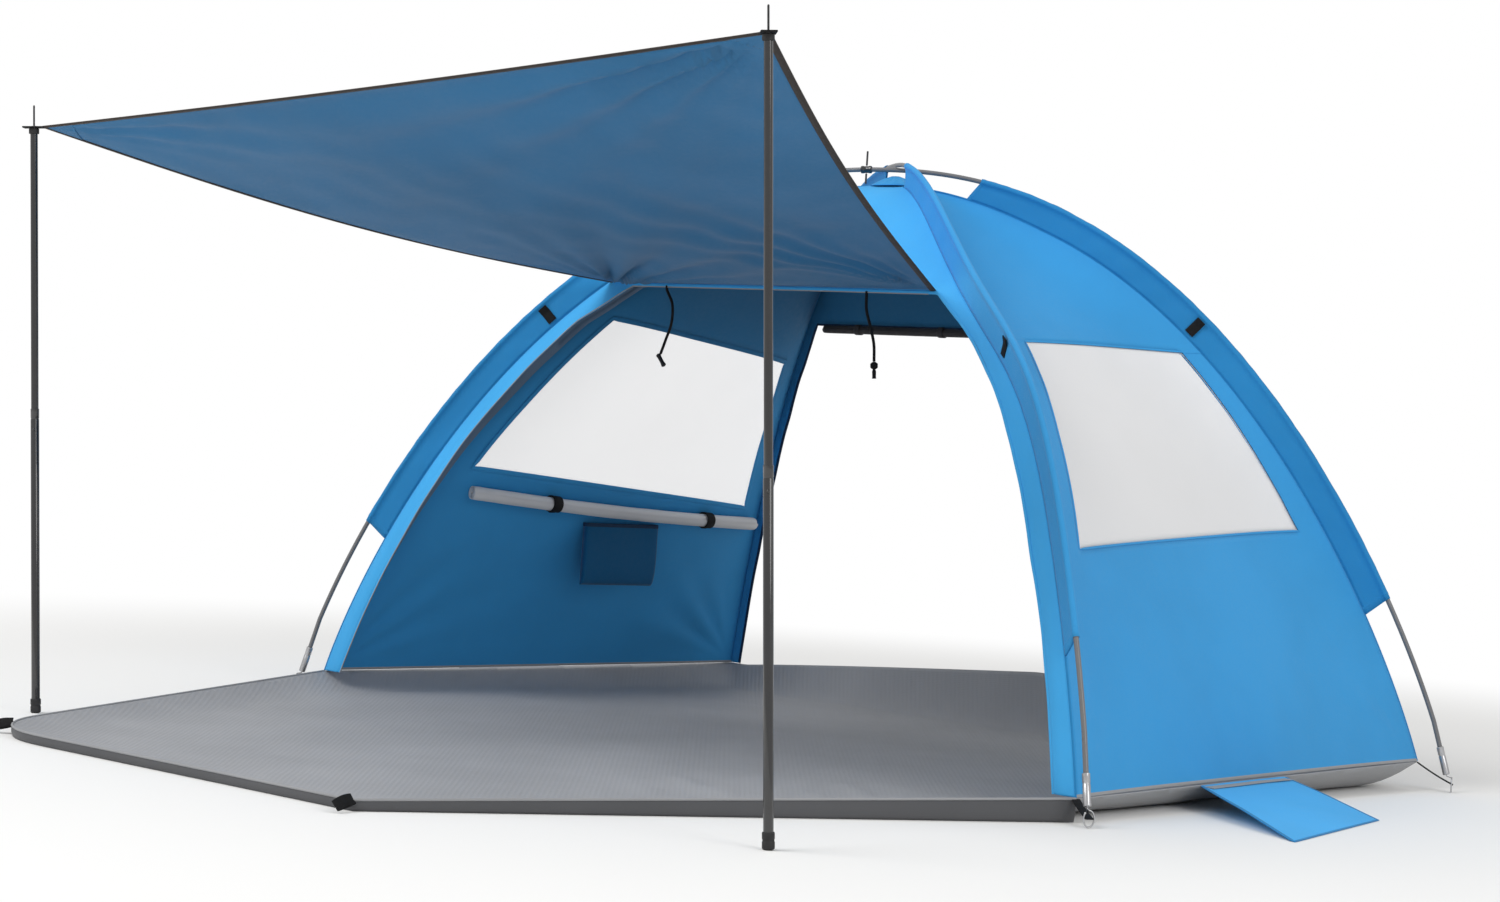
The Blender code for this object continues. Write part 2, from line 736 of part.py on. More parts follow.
def make_sleeve_tab(end, side):
    """A black fastening tab that lies across the sleeve on its camera side."""
    share = TAB_SHARES[end, side]
    pole = arch_point(end, side, share, arch_lift(end, side))
    seam = corner_point(end, side, share)
    inward = (seam - pole).normalized()
    outward = foot_of(end, side) - Vector((0.0, CROWN_SETBACK, 0.0))
    outward.normalize()
    sideways = Vector((-outward.y, outward.x, 0.0))
    if sideways.y > 0.0:
        sideways = -sideways
    seat = sideways * (SLEEVE_LAYER_HALF + SLEEVE_FABRIC / 2.0 + TAB_SEAT)
    start = pole + inward * (TAB_CENTRE - TAB_LENGTH / 2.0) + seat
    end_point = pole + inward * (TAB_CENTRE + TAB_LENGTH / 2.0) + seat
    strip(f"sleeve_tab_{end}_{side}", start, end_point, TAB_WIDTH, TAB_THICKNESS, "black_webbing", sideways)


def cover_point(side, across):
    """The centre line of a rolled window cover, just inside the wall and below the window."""
    front_share, rear_share = COVER_SHARES[side]
    share = front_share + (rear_share - front_share) * across
    spot = wall_point(side, across, share)
    spot.x -= outward_sign(side) * (COVER_RADIUS + COVER_CLEARANCE)
    spot.z -= COVER_DROOP * math.sin(math.pi * across)
    return spot


def make_cover(side):
    span = COVER_END_SHARE - COVER_START_SHARE
    points = [cover_point(side, COVER_START_SHARE + span * step / (COVER_POINTS - 1))
              for step in range(COVER_POINTS)]
    tube(f"window_cover_{side}", points, COVER_RADIUS, "grey_fabric", TUBE_RESOLUTION + 1)
    for name, share in zip(("front", "rear"), STRAP_SHARES):
        spot = cover_point(side, share)
        along = cover_point(side, share + span / COVER_POINTS) - cover_point(side, share - span / COVER_POINTS)
        bore = COVER_RADIUS + FIT_GAP * 2.5
        profile = hollow_profile(bore + STRAP_THICKNESS, bore, -STRAP_WIDTH / 2.0, STRAP_WIDTH / 2.0)
        turned(f"cover_strap_{side}_{name}", profile, "black_webbing", spot, along, closed=True)


def make_pocket():
    """An open pouch that hangs from the left wall."""
    first = wall_point("left", POCKET_SHARES[0], POCKET_TOP_SHARE)
    second = wall_point("left", POCKET_SHARES[1], POCKET_TOP_SHARE)
    width = (second - first).length
    along = (second - first).normalized()
    inside = Vector((along.y, -along.x, 0.0)).normalized()

    def build(cage):
        bmesh.ops.create_cube(cage, size=1.0)
        top = [face for face in cage.faces if face.normal.z > 0.5]
        bmesh.ops.delete(cage, geom=top, context="FACES_ONLY")
        for vertex in cage.verts:
            vertex.co.x *= width
            vertex.co.y *= POCKET_DEPTH
            vertex.co.z = (vertex.co.z - 0.5) * POCKET_HEIGHT
    centre = (first + second) / 2.0 + inside * (POCKET_DEPTH / 2.0 + POCKET_CLEARANCE + FABRIC / 2.0)
    made = add_object("pocket", mesh_from("pocket", build), "shade_fabric", centre)
    made.rotation_euler = (0.0, 0.0, math.atan2(along.y, along.x))
    solid = made.modifiers.new("thickness", "SOLIDIFY")
    solid.thickness = POCKET_FABRIC
    solid.offset = -1.0


def make_door_roll():
    """The rear door, rolled up under the rear panel's lower edge."""
    share = share_at_height("rear", "right", REAR_EAVE_HEIGHT)
    seam = corner_point("rear", "right", share)
    reach = seam.x - REAR_JAMB - DOOR_ROLL_INSET
    height = REAR_EAVE_HEIGHT - DOOR_ROLL_RADIUS - FIT_GAP
    steps = 8
    points = [(reach * (2.0 * step / steps - 1.0), seam.y, height) for step in range(steps + 1)]
    tube("rear_door_roll", points, DOOR_ROLL_RADIUS, "dark_fabric", TUBE_RESOLUTION + 1)


# Floor


def floor_edge():
    """The floor's outline with the height of its edge: (x, y, z), anticlockwise from above."""
    hems = {key: hem_corner(*key) for key in
            (("front", "right"), ("rear", "right"), ("rear", "left"), ("front", "left"))}
    for hem in hems.values():
        hem.z -= FLOOR_SEAT + FLOOR_THICKNESS
    left = Vector((-PORCH_LEFT_OUT, -PORCH_LEFT_FORWARD, PORCH_EDGE_LIFT))
    right = Vector((PORCH_RIGHT_OUT, -PORCH_RIGHT_FORWARD, PORCH_EDGE_LIFT))
    before = (hems["front", "left"] - left).normalized()
    after = (right - left).normalized()
    rounded = []
    for step in range(5):
        t = step / 4.0
        rounded.append(left + before * PORCH_CORNER_RADIUS * (1.0 - t) ** 2
                       + after * PORCH_CORNER_RADIUS * t ** 2)
    corners = [hems["front", "right"], hems["rear", "right"], hems["rear", "left"],
               hems["front", "left"], *rounded, right]
    points = []
    for index, start in enumerate(corners):
        end = corners[(index + 1) % len(corners)]
        steps = EDGE_STEPS if (end - start).length > 2.0 * PORCH_CORNER_RADIUS else 1
        for step in range(steps):
            t = step / steps
            spot = start.lerp(end, t)
            if index == 1:
                inner = max(0.0, 1.0 - abs(2.0 * t - 1.0) / (1.0 - 2.0 * SILL_START_SHARE))
                spot.z += SILL_RISE * inner ** 0.9
            points.append(spot)
    return points


def make_floor():
    edge = floor_edge()
    flat = [(spot.x, spot.y) for spot in edge]

    def build(cage):
        rings = []
        for share in FLOOR_RING_SHARES:
            moved = offset_outline(flat, FLOOR_EDGE_BAND * share)
            ring = [cage.verts.new((place.x, place.y, spot.z * (1.0 - share) ** 2))
                    for place, spot in zip(moved, edge)]
            rings.append([cage.edges.new((ring[i - 1], ring[i])) for i in range(len(ring))])
        for outer, inner in zip(rings, rings[1:]):
            bmesh.ops.bridge_loops(cage, edges=outer + inner)
        bmesh.ops.contextual_create(cage, geom=rings[-1])
        bmesh.ops.recalc_face_normals(cage, faces=cage.faces)
        middle = max(cage.faces, key=lambda face: face.calc_area())
        if middle.normal.z > 0.0:
            bmesh.ops.reverse_faces(cage, faces=cage.faces)
    made = add_object("floor", mesh_from("floor", build), "grey_fabric")
    solid = made.modifiers.new("thickness", "SOLIDIFY")
    solid.thickness = FLOOR_THICKNESS
    solid.offset = -1.0
    solid.use_even_offset = True


def make_peg_loops():
    """Black webbing loops on the porch floor's two front corners."""
    edge = floor_edge()
    for name, turn in (("left", LEFT_LOOP_DEGREES), ("right", RIGHT_LOOP_DEGREES)):
        outward = Vector((math.sin(math.radians(turn)), -math.cos(math.radians(turn)), 0.0))
        spot = max(edge, key=outward.dot)
        start = Vector((spot.x, spot.y, spot.z + FLOOR_THICKNESS / 2.0)) + outward * LOOP_SEAT
        end = start + outward * LOOP_LENGTH
        end.z = LOOP_THICKNESS / 2.0 + FIT_GAP
        strip(f"peg_loop_{name}", start, end, LOOP_WIDTH, LOOP_THICKNESS, "black_webbing",
              Vector((0.0, 0.0, 1.0)))


def make_sand_flap(side):
    """A flap hinged on the side hem that lies out on the sand. Its origin is on the hinge line."""
    front = hem_corner("front", side)
    rear = hem_corner("rear", side)
    first = front.lerp(rear, FLAP_START_SHARE)
    second = front.lerp(rear, FLAP_END_SHARE)
    outward = Vector((outward_sign(side), 0.0, 0.0))
    drop = Vector((0.0, 0.0, FLOOR_SEAT + FLOOR_THICKNESS / 2.0))
    root = [spot + outward * FLAP_HEM_GAP - drop for spot in (first, second)]
    origin = (root[0] + root[1]) / 2.0
    tip_height = FLAP_TIP_LIFT + FLAP_FABRIC / 2.0
    tips = [root[0] + outward * FLAP_FRONT_LENGTH - Vector((0.0, FLAP_SKEW + FLAP_FLARE, 0.0)),
            root[1] + outward * FLAP_REAR_LENGTH - Vector((0.0, FLAP_SKEW - FLAP_FLARE, 0.0))]
    for tip in tips:
        tip.z = tip_height

    def place(across, down):
        top = root[0].lerp(root[1], across)
        bottom = tips[0].lerp(tips[1], across)
        return top.lerp(bottom, down) - origin
    surface(f"sand_flap_{side}", place, 4, 4, FLAP_FABRIC, "sky_fabric", origin)


# Awning and its poles


def awning_axis():
    return Vector((AWNING_LEAN_SHARES[0], AWNING_LEAN_SHARES[1], 1.0)).normalized()


def awning_top(side):
    """The place on a pole's axis where the awning's corner tab sits."""
    foot, height = ((AWNING_RIGHT_FOOT, AWNING_RIGHT_TOP) if side == "right"
                    else (AWNING_LEFT_FOOT, AWNING_LEFT_TOP))
    axis = awning_axis()
    return Vector((*foot, 0.0)) + axis * (height / axis.z)


def make_awning_pole(side):
    """A rubber foot and a lower tube that stand, and an upper tube with its cap that slide in it."""
    top = awning_top(side)
    axis = awning_axis()
    foot_place = Vector((*(AWNING_RIGHT_FOOT if side == "right" else AWNING_LEFT_FOOT), 0.0))
    tilt_rise = FOOT_RADIUS * math.hypot(axis.x, axis.y) + FIT_GAP
    length = (top - foot_place).length
    stand = bpy.data.objects.new(f"awning_pole_{side}", None)
    parts.objects.link(stand)
    stand.location = foot_place
    stand.rotation_euler = axis.to_track_quat("Z", "Y").to_euler()

    foot = hollow_profile(FOOT_RADIUS, LOWER_TUBE_RADIUS + FIT_GAP, FOOT_SOLE, FOOT_HEIGHT)
    foot = [foot[0], (FOOT_RADIUS, 0.0), (0.0, 0.0), (0.0, FOOT_SOLE), foot[2], foot[3], foot[0]]
    turned(f"pole_foot_{side}", foot, "black_rubber", (0.0, 0.0, tilt_rise), parent=stand)

    lower_bottom = tilt_rise + FOOT_SOLE + FIT_GAP
    lower = hollow_profile(LOWER_TUBE_RADIUS, LOWER_TUBE_BORE, 0.0, TUBE_SPLIT - lower_bottom)
    turned(f"lower_tube_{side}", lower, "dark_steel", (0.0, 0.0, lower_bottom), closed=True, parent=stand)

    tube_top = length - CAP_HEIGHT - TOP_TAB_THICKNESS - FIT_GAP
    upper_bottom = TUBE_SPLIT - TUBE_OVERLAP
    upper = hollow_profile(UPPER_TUBE_RADIUS, UPPER_TUBE_BORE, 0.0, tube_top - FIT_GAP - upper_bottom)
    turned(f"upper_tube_{side}", upper, "dark_steel", (0.0, 0.0, upper_bottom), closed=True, parent=stand)

    plug = UPPER_TUBE_BORE - FIT_GAP
    cap = [(0.0, CAP_HEIGHT + TOP_TAB_THICKNESS + SPIKE_LENGTH),
           (SPIKE_RADIUS * 0.6, CAP_HEIGHT + TOP_TAB_THICKNESS + SPIKE_LENGTH),
           (SPIKE_RADIUS, CAP_HEIGHT + TOP_TAB_THICKNESS + SPIKE_LENGTH - SPIKE_RADIUS),
           (SPIKE_RADIUS, CAP_HEIGHT), (CAP_RADIUS, CAP_HEIGHT), (CAP_RADIUS, 0.0),
           (plug, 0.0), (plug, -CAP_PLUG_LENGTH), (0.0, -CAP_PLUG_LENGTH)]
    turned(f"pole_cap_{side}", cap, "black_rubber", (0.0, 0.0, tube_top), parent=stand)
    return stand


def awning_corner(side):
    """Where the awning's cloth meets its corner tab."""
    top = awning_top(side)
    target = (awning_top("right") + awning_top("left")) / 2.0
    target.y = -FRONT_FOOT_FORWARD
    towards = Vector((target.x - top.x, target.y - top.y, 0.0)).normalized()
    return top + towards * TOP_TAB_LENGTH / 2.0, towards


def make_awning_tab(side):
    """A webbing tab with a hole that the pole's spike passes through."""
    axis = awning_axis()
    top = awning_top(side)
    _, towards = awning_corner(side)
    level = (towards - axis * towards.dot(axis)).normalized()
    centre = top - axis * (TOP_TAB_THICKNESS / 2.0)
    half = level * (TOP_TAB_LENGTH / 2.0 - FIT_GAP)
    tab = strip(f"awning_tab_{side}", centre - half, centre + half, TOP_TAB_WIDTH,
                TOP_TAB_THICKNESS - FIT_GAP, "black_webbing", axis)
    hole = bpy.data.objects.new(f"spike_hole_{side}", mesh_from(f"spike_hole_{side}", lambda cage:
                                bmesh.ops.create_cone(cage, cap_ends=True, segments=ROUND_STEPS,
                                                      radius1=TOP_TAB_HOLE, radius2=TOP_TAB_HOLE,
                                                      depth=TOP_TAB_LENGTH)))
    cutters.objects.link(hole)
    hole.location = centre
    hole.rotation_euler = axis.to_track_quat("Z", "Y").to_euler()
    hole.hide_render = True
    hole.display_type = "WIRE"
    cut(tab, hole, "DIFFERENCE")


def make_awning():
    """The cloth between the front eave and the two pole tops, with a slack middle and drawn-in edges."""
    height = FRONT_EAVE_HEIGHT + AWNING_EAVE_RAISE
    seams = {side: corner_point("front", side, share_at_height("front", side, height)) for side in SIDES}
    rear_left = seams["left"].x * AWNING_EAVE_SHARES["left"]
    rear_right = seams["right"].x * AWNING_EAVE_SHARES["right"]
    front_left = awning_corner("left")[0]
    front_right = awning_corner("right")[0]

    def eave_place(across):
        spot = panel_place("front", rear_left + (rear_right - rear_left) * across, height)
        spot.y -= AWNING_EAVE_GAP
        return spot

    def place(across, down):
        rear = eave_place(across)
        front = front_left.lerp(front_right, across)
        spot = rear.lerp(front, down)
        width = math.sin(math.pi * across)
        reach = math.sin(math.pi * down)
        middle = eave_place(0.5).lerp(front_left.lerp(front_right, 0.5), down)
        spot += (middle - spot).normalized() * AWNING_EDGE_BOW * reach * abs(2.0 * across - 1.0) ** 3
        spot.y += AWNING_EDGE_BOW * width * down ** 3
        spot.z -= AWNING_SAG * width * reach
        spread = math.sin(math.pi * across * FOLD_COUNT) * width
        spot.z += FOLD_HEIGHT * spread * reach
        return spot
    surface("awning", place, AWNING_COLUMNS, AWNING_ROWS, AWNING_FABRIC, "shade_fabric")


# Toggle cords


def cord_route(side):
    route = LEFT_CORD_ROUTE if side == "left" else RIGHT_CORD_ROUTE
    eave = panel_place("front", route[0][0], FRONT_EAVE_HEIGHT)
    middle = Vector((0.0, eave.y, FRONT_EAVE_HEIGHT - FIT_GAP))
    return smooth_route([middle + Vector(point) for point in route], CORD_STEP)


def make_toggle_cords():
    for side in SIDES:
        route = cord_route(side)
        tube(f"toggle_cord_{side}", route, CORD_RADIUS, "black_webbing")
        along = (route[-1] - route[-2]).normalized()
        if side == "left":
            along = (along + Vector((1.2, 0.0, 0.0))).normalized()
            place = route[-1] + (route[-1] - route[-2]).normalized() * (TOGGLE_RADIUS * 1.35 + FIT_GAP)
            place += along * TOGGLE_LENGTH * 0.28
            profile = [(0.0, TOGGLE_LENGTH / 2.0), (TOGGLE_RADIUS, TOGGLE_LENGTH / 2.0),
                       (TOGGLE_RADIUS, -TOGGLE_LENGTH / 2.0), (0.0, -TOGGLE_LENGTH / 2.0)]
            turned("toggle", profile, "black_rubber", place, along)
        else:
            profile = [(0.0, KNOT_RADIUS)]
            for step in range(1, 6):
                angle = math.pi * step / 6.0
                profile.append((KNOT_RADIUS * math.sin(angle), KNOT_RADIUS * math.cos(angle)))
            profile += [(KNOT_TAIL_RADIUS, -KNOT_RADIUS - KNOT_TAIL_LENGTH),
                        (0.0, -KNOT_RADIUS - KNOT_TAIL_LENGTH)]
            place = route[-1] + along * (KNOT_RADIUS + FIT_GAP)
            turned("cord_knot", profile, "black_webbing", place, -along)


def build_tent():
    start_scene()
    make_arch("arch_pole_lower", "left", "right")
    make_arch("arch_pole_upper", "right", "left")
    for end in ("front", "rear"):
        for side in SIDES:
            make_ferrule(end, side)
            make_ground_ring(end, side)
            make_corner_webbing(end, side)
            make_sleeve(end, side)
            make_sleeve_tab(end, side)
    make_crown_clip()
    make_clip_pin("clip_spike", CLIP_RADIUS + FIT_GAP * 2.0, CLIP_PIN_UP)
    make_clip_pin("clip_hanger", -CLIP_PIN_DOWN, -CLIP_RADIUS - FIT_GAP * 2.0)
    make_crown_patch()
    for side in SIDES:
        make_wall(side)
        make_cover(side)
        make_sand_flap(side)
        make_awning_pole(side)
        make_awning_tab(side)
    make_panel("front", FRONT_JAMB, FRONT_EAVE_HEIGHT, FRONT_CORNER_JAMB, FRONT_CORNER_DROP)
    make_panel("rear", REAR_JAMB, REAR_EAVE_HEIGHT, REAR_JAMB, 0.0)
    make_pocket()
    make_door_roll()
    make_floor()
    make_peg_loops()
    make_awning()
    make_toggle_cords()


build_tent()
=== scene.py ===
"""Beach tent: cloth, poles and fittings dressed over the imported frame, with camera and light."""

import math

import bmesh
import bpy
import numpy as np
from mathutils import Matrix, Vector


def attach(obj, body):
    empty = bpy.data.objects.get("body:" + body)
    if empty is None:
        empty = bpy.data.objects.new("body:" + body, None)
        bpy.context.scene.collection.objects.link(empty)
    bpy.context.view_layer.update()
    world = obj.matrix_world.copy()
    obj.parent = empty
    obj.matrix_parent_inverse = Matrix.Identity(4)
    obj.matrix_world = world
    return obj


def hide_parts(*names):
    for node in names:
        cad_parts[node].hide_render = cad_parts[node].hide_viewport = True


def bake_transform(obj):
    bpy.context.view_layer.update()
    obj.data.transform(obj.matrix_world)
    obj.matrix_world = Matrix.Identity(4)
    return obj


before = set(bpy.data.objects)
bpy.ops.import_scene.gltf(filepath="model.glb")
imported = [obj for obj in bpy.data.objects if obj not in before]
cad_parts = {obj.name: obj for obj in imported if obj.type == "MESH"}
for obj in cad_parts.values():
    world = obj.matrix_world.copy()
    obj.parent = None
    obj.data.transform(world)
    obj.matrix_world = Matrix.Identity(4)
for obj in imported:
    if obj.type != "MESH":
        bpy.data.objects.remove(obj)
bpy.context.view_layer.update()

UP = np.array((0.0, 0.0, 1.0))
SIDES = ("right", "left")
ENDS = ("front", "rear")

# Arch poles
CROWN_HEIGHT = 1.350
CROWN = np.array((0.0, 0.040, 0.0))
FEET = {"front": (1.250, -0.672), "rear": (1.170, 0.750)}
CURVES = {"front": (2.26, 0.80), "rear": (2.146, 0.823)}
POLE_RADIUS = 0.0055
POLES = ("arch_pole_lower", "arch_pole_upper")
SHOULDER_DIPS = {"right": 0.130, "left": 0.016}
SHOULDER_ENDS = {"right": 0.820, "left": 1.0}
TAIL = 0.965
TIP_LIFT = 0.072
FIT_GAP = 0.0004

# Ferrules, rings and corner webbing
FERRULE_RADIUS = 0.0080
FERRULE_LENGTH = 0.064
FERRULE_SOCKET = 0.034
WIRE_RADIUS = 0.0017
RING_HALF_WIDTH = 0.0110
RING_HALF_HEIGHT = 0.0160
RING_OPENING = 40.0
PIN_LENGTH = 0.058
CORNER_STRAP = (0.0178, 0.0023)

# Crown clip and patch
CLIP_SHARE = 0.050
CLIP_RADIUS = 0.0090
CLIP_LENGTH = 0.026
CLIP_PIN_RADIUS = 0.0024
CLIP_PINS = (("crown_spike", "clip_spike", CLIP_RADIUS, 0.044),
             ("crown_hanger", "clip_hanger", -0.034, -CLIP_RADIUS))
PATCH_HALVES = (0.0585, 0.0415)
PATCH_RISE = 0.024
PATCH_SQUARE = 3.2
PATCH_TOP = 0.16

# Fabric body
SLEEVE_WIDTH = 0.060
CROWN_SLEEVE_WIDTH = 0.038
SLEEVE_FULL = 0.300
WALL_SAG = 0.090
BODY_TOP = 0.040
HEMS = {"front": 0.990, "rear": 0.984}
ROW_EASE = 1.6
SEAM_ROOM = 0.0006
JAMBS = {"front": 0.056, "rear": 0.030}
EAVES = {"front": 1.044, "rear": 0.998}
CORNER_JAMB = 0.080
CORNER_DROPS = {"front": 0.090, "rear": 0.0}
CLOTH = 0.0016
BINDING = 0.0014
BAND = 0.0016

# Sleeves
SLEEVE_START = 0.150
CROWN_START = 0.054
SLEEVE_ENDS = {"front": {"right": 0.913, "left": 0.887}, "rear": {"right": 0.877, "left": 0.877}}
SLEEVE_SLANT = 0.018
SLEEVE_ROWS = 150
LAYER_HALF = 0.0016
TUNNEL_RADIUS = 0.0068
TAB_SHARES = {"front": {"right": 0.580, "left": 0.600}, "rear": {"right": 0.545, "left": 0.545}}
TAB_REACH = (0.008, 0.026, 0.050)

# Windows, rolled covers and pocket, as shares of the wall
WINDOWS = {
    "right": ((0.310, 0.536), (0.955, 0.572), (0.931, 0.806), (0.121, 0.840)),
    "left": ((0.114, 0.579), (0.894, 0.622), (0.934, 0.834), (0.088, 0.812)),
}
WINDOW_BULGE = 0.003
WINDOW_TAPES = (("outer", 0.0011, 0.0050, "sky"), ("inner", -0.0026, 0.0120, "inside"))
PANE_LIFT = -0.0012
COVER_RADIUS = 0.0190
COVER_SPAN = (0.110, 0.960)
COVER_SHARES = {"right": (0.862, 0.832), "left": (0.836, 0.852)}
COVER_DROOP = 0.012
COVER_CLEARANCE = 0.0024
STRAP_SHARES = (0.330, 0.790)
ROLL_TURNS = 4
POCKET_SHARES = (0.455, 0.660)
POCKET_TOP = 0.864
POCKET_HEIGHT = 0.155
POCKET_DEPTH = 0.020
POCKET_CORNER = 0.10
DOOR_ROLL_RADIUS = 0.0115
DOOR_ROLL_INSET = 0.030

# Floor
FLOOR_THICKNESS = 0.0030
FLOOR_BAND = 0.110
FLOOR_SEAT = 0.0014
FLOOR_STEP = 0.0145
FLOOR_LIFT = FLOOR_THICKNESS * 0.5 + 0.0006
PORCH_LEFT = (-0.550, -1.975)
PORCH_RIGHT = (0.600, -1.932)
PORCH_LIFT = 0.018
PORCH_ROUND = 0.200
SILL_RISE = 0.088
SILL_START = 0.030
LOOP_LENGTH = 0.046
LOOP_WIDTH = 0.022
LOOP_LIFT = 0.0030
LOOP_TURNS = (("left", -40.0), ("right", 12.0))

# Sand flaps
FLAP_SHARES = (0.330, 0.570)
FLAP_LENGTHS = (0.372, 0.262)
FLAP_FLARE = 0.0835
FLAP_SKEW = 0.1235
FLAP_SEAT = 0.0013

# Awning and its poles
AWNING_FEET = {"right": (1.219, -1.515), "left": (-0.870, -1.655)}
AWNING_TOPS = {"right": 1.398, "left": 1.268}
AWNING_AXIS = np.array((-0.0410, -0.0525, 1.0))
AWNING_AXIS = AWNING_AXIS / np.linalg.norm(AWNING_AXIS)
LOWER_RADIUS = 0.0092
UPPER_RADIUS = 0.0080
TUBE_SPLIT = 0.660
TUBE_OVERLAP = 0.160
BUTTON_DROP = 0.045
FOOT_RADIUS = 0.0112
FOOT_HEIGHT = 0.030
FOOT_SOLE = 0.006
CAP_RADIUS = 0.0110
CAP_HEIGHT = 0.012
TOP_TAB = 0.0040
TOP_TAB_LENGTH = 0.046
TOP_TAB_WIDTH = 0.030
SPIKE_RADIUS = 0.0020
SPIKE_LENGTH = 0.046
AWNING_REAR = {"left": 0.985, "right": 0.840}
AWNING_SAG = 0.035
AWNING_BOW = 0.030
AWNING_RAISE = 0.006
AWNING_GAP = 0.0030
AWNING_CLOTH = 0.0013
FOLD_HEIGHT = 0.0040
FOLD_COUNT = 4
PATCH_REACH = (0.045, 0.060)

# Toggle cords: routes measured from the eave's middle
CORD_ROUTES = {
    "left": ((-0.405, 0.0, 0.0), (-0.405, 0.0, -0.010), (-0.377, -0.006, -0.045), (-0.372, -0.010, -0.090),
             (-0.386, -0.012, -0.130), (-0.400, -0.012, -0.163)),
    "right": ((0.197, 0.0, 0.0), (0.197, 0.0, -0.010), (0.206, -0.006, -0.045), (0.226, -0.010, -0.085),
              (0.240, -0.012, -0.120), (0.244, -0.012, -0.158)),
}
CORD_RADIUS = 0.0034
CORD_STEP = 0.005
TOGGLE_RADIUS = 0.0060
TOGGLE_LENGTH = 0.034
KNOT_RADIUS = 0.0090

# Creases that fan out from a place: height, direction, spread, folds, nearest, fade, seed
WALL_FANS = {
    "left": (("rear", 0.0130, 150.0, 30.0, 3.2, 0.05, 0.20, 21),
             ("front", 0.0110, 35.0, 28.0, 3.0, 0.08, 0.24, 22),
             ("window", 0.0050, 250.0, 30.0, 1.5, 0.05, 0.20, 23)),
    "right": (("sleeve", 0.0050, 205.0, 22.0, 2.0, 0.05, 0.10, 31),
              ("front", 0.0035, 50.0, 22.0, 2.0, 0.06, 0.12, 32),
              ("rear", 0.0035, 130.0, 22.0, 2.0, 0.06, 0.12, 33)),
}
AWNING_FANS = (
    ("front_right", 0.0240, 178.0, 26.0, 5.0, 0.16, 0.70, 401),
    ("front_right", 0.0200, 212.0, 22.0, 4.0, 0.16, 0.60, 405),
    ("front_left", 0.0090, 10.0, 22.0, 3.0, 0.10, 0.60, 402),
    ("rear_left", 0.0160, -30.0, 28.0, 4.4, 0.10, 0.50, 403),
    ("rear_right", 0.0085, -110.0, 24.0, 3.2, 0.10, 0.50, 404),
)

# Camera, light and material scales
CAMERA_PLACE = (4.776, -5.227, 0.722)
CAMERA_TURNS = (44.614, -0.183, 3.78)
PHOTO_WIDTH = 1500.0
FOCAL_PIXELS = 3001.4
SHIFT_PIXELS = (-1.84, -14.74)
LAMPS = (("key", (-1.5, -6.0, 6.5), (0.0, 0.0, 0.5), 5.0, 330.0),
         ("fill", (7.0, -1.0, 4.0), (0.3, 0.0, 0.6), 4.0, 110.0))
STUDIO_REACH = 60.0
STUDIO_FADE = (2.2, 4.2)
SOFT_LIGHT = 0.62
WAVE_SCALE = 0.3142


# Camera


def link(name, data):
    made = bpy.data.objects.new(name, data)
    bpy.context.scene.collection.objects.link(made)
    return made


def make_camera():
    yaw, pitch, roll = (math.radians(angle) for angle in CAMERA_TURNS)
    forward = Vector((-math.sin(yaw) * math.cos(pitch), math.cos(yaw) * math.cos(pitch), math.sin(pitch)))
    level = Vector((math.cos(yaw), math.sin(yaw), 0.0))
    above = level.cross(forward)
    right = level * math.cos(roll) + above * math.sin(roll)
    up = above * math.cos(roll) - level * math.sin(roll)
    lens = bpy.data.cameras.new("camera")
    lens.sensor_width = 36.0
    lens.lens = FOCAL_PIXELS * lens.sensor_width / PHOTO_WIDTH
    lens.shift_x, lens.shift_y = (shift / PHOTO_WIDTH for shift in SHIFT_PIXELS)
    lens.clip_end = 200.0
    camera = link("camera", lens)
    turn = Matrix((right, up, -forward)).transposed().to_4x4()
    camera.matrix_world = Matrix.Translation(Vector(CAMERA_PLACE)) @ turn
    bpy.context.scene.camera = camera


# Materials


def shade(colour, factor=1.0):
    return tuple(min(1.0, channel * factor) for channel in colour) + (1.0,)


class Shader:
    """The nodes of a material or world. A value named after an input sets it or is linked to it."""

    def __init__(self, owner):
        owner.use_nodes = True
        self.owner = owner
        self.nodes, self.links = owner.node_tree.nodes, owner.node_tree.links

    def feed(self, socket, value):
        if hasattr(value, "is_linked"):
            self.links.new(value, socket)
        else:
            socket.default_value = value

    def fill(self, node, **values):
        for key, value in values.items():
            name = key.replace("_", " ")
            if name in node.inputs:
                self.feed(node.inputs[name], value)
            else:
                setattr(node, key, value)
        return node

    def add(self, kind, **values):
        return self.fill(self.nodes.new("ShaderNode" + kind), **values)

    def numbered(self, kind, inputs, output=0, **values):
        """A new node whose inputs are fed by number."""
        node = self.add(kind, **values)
        for number, value in inputs.items():
            self.feed(node.inputs[number], value)
        return node.outputs[output]

    def maths(self, operation, first, second):
        return self.numbered("Math", {0: first, 1: second}, operation=operation)

    def mix(self, factor, first, second):
        return self.numbered("Mix", {0: factor, 6: first, 7: second}, 2, data_type="RGBA")

    def blend(self, share, first, second):
        return self.numbered("MixShader", {0: share, 1: first, 2: second})

    def show(self, shader, output="Material Output"):
        self.feed(self.nodes[output].inputs["Surface"], shader)


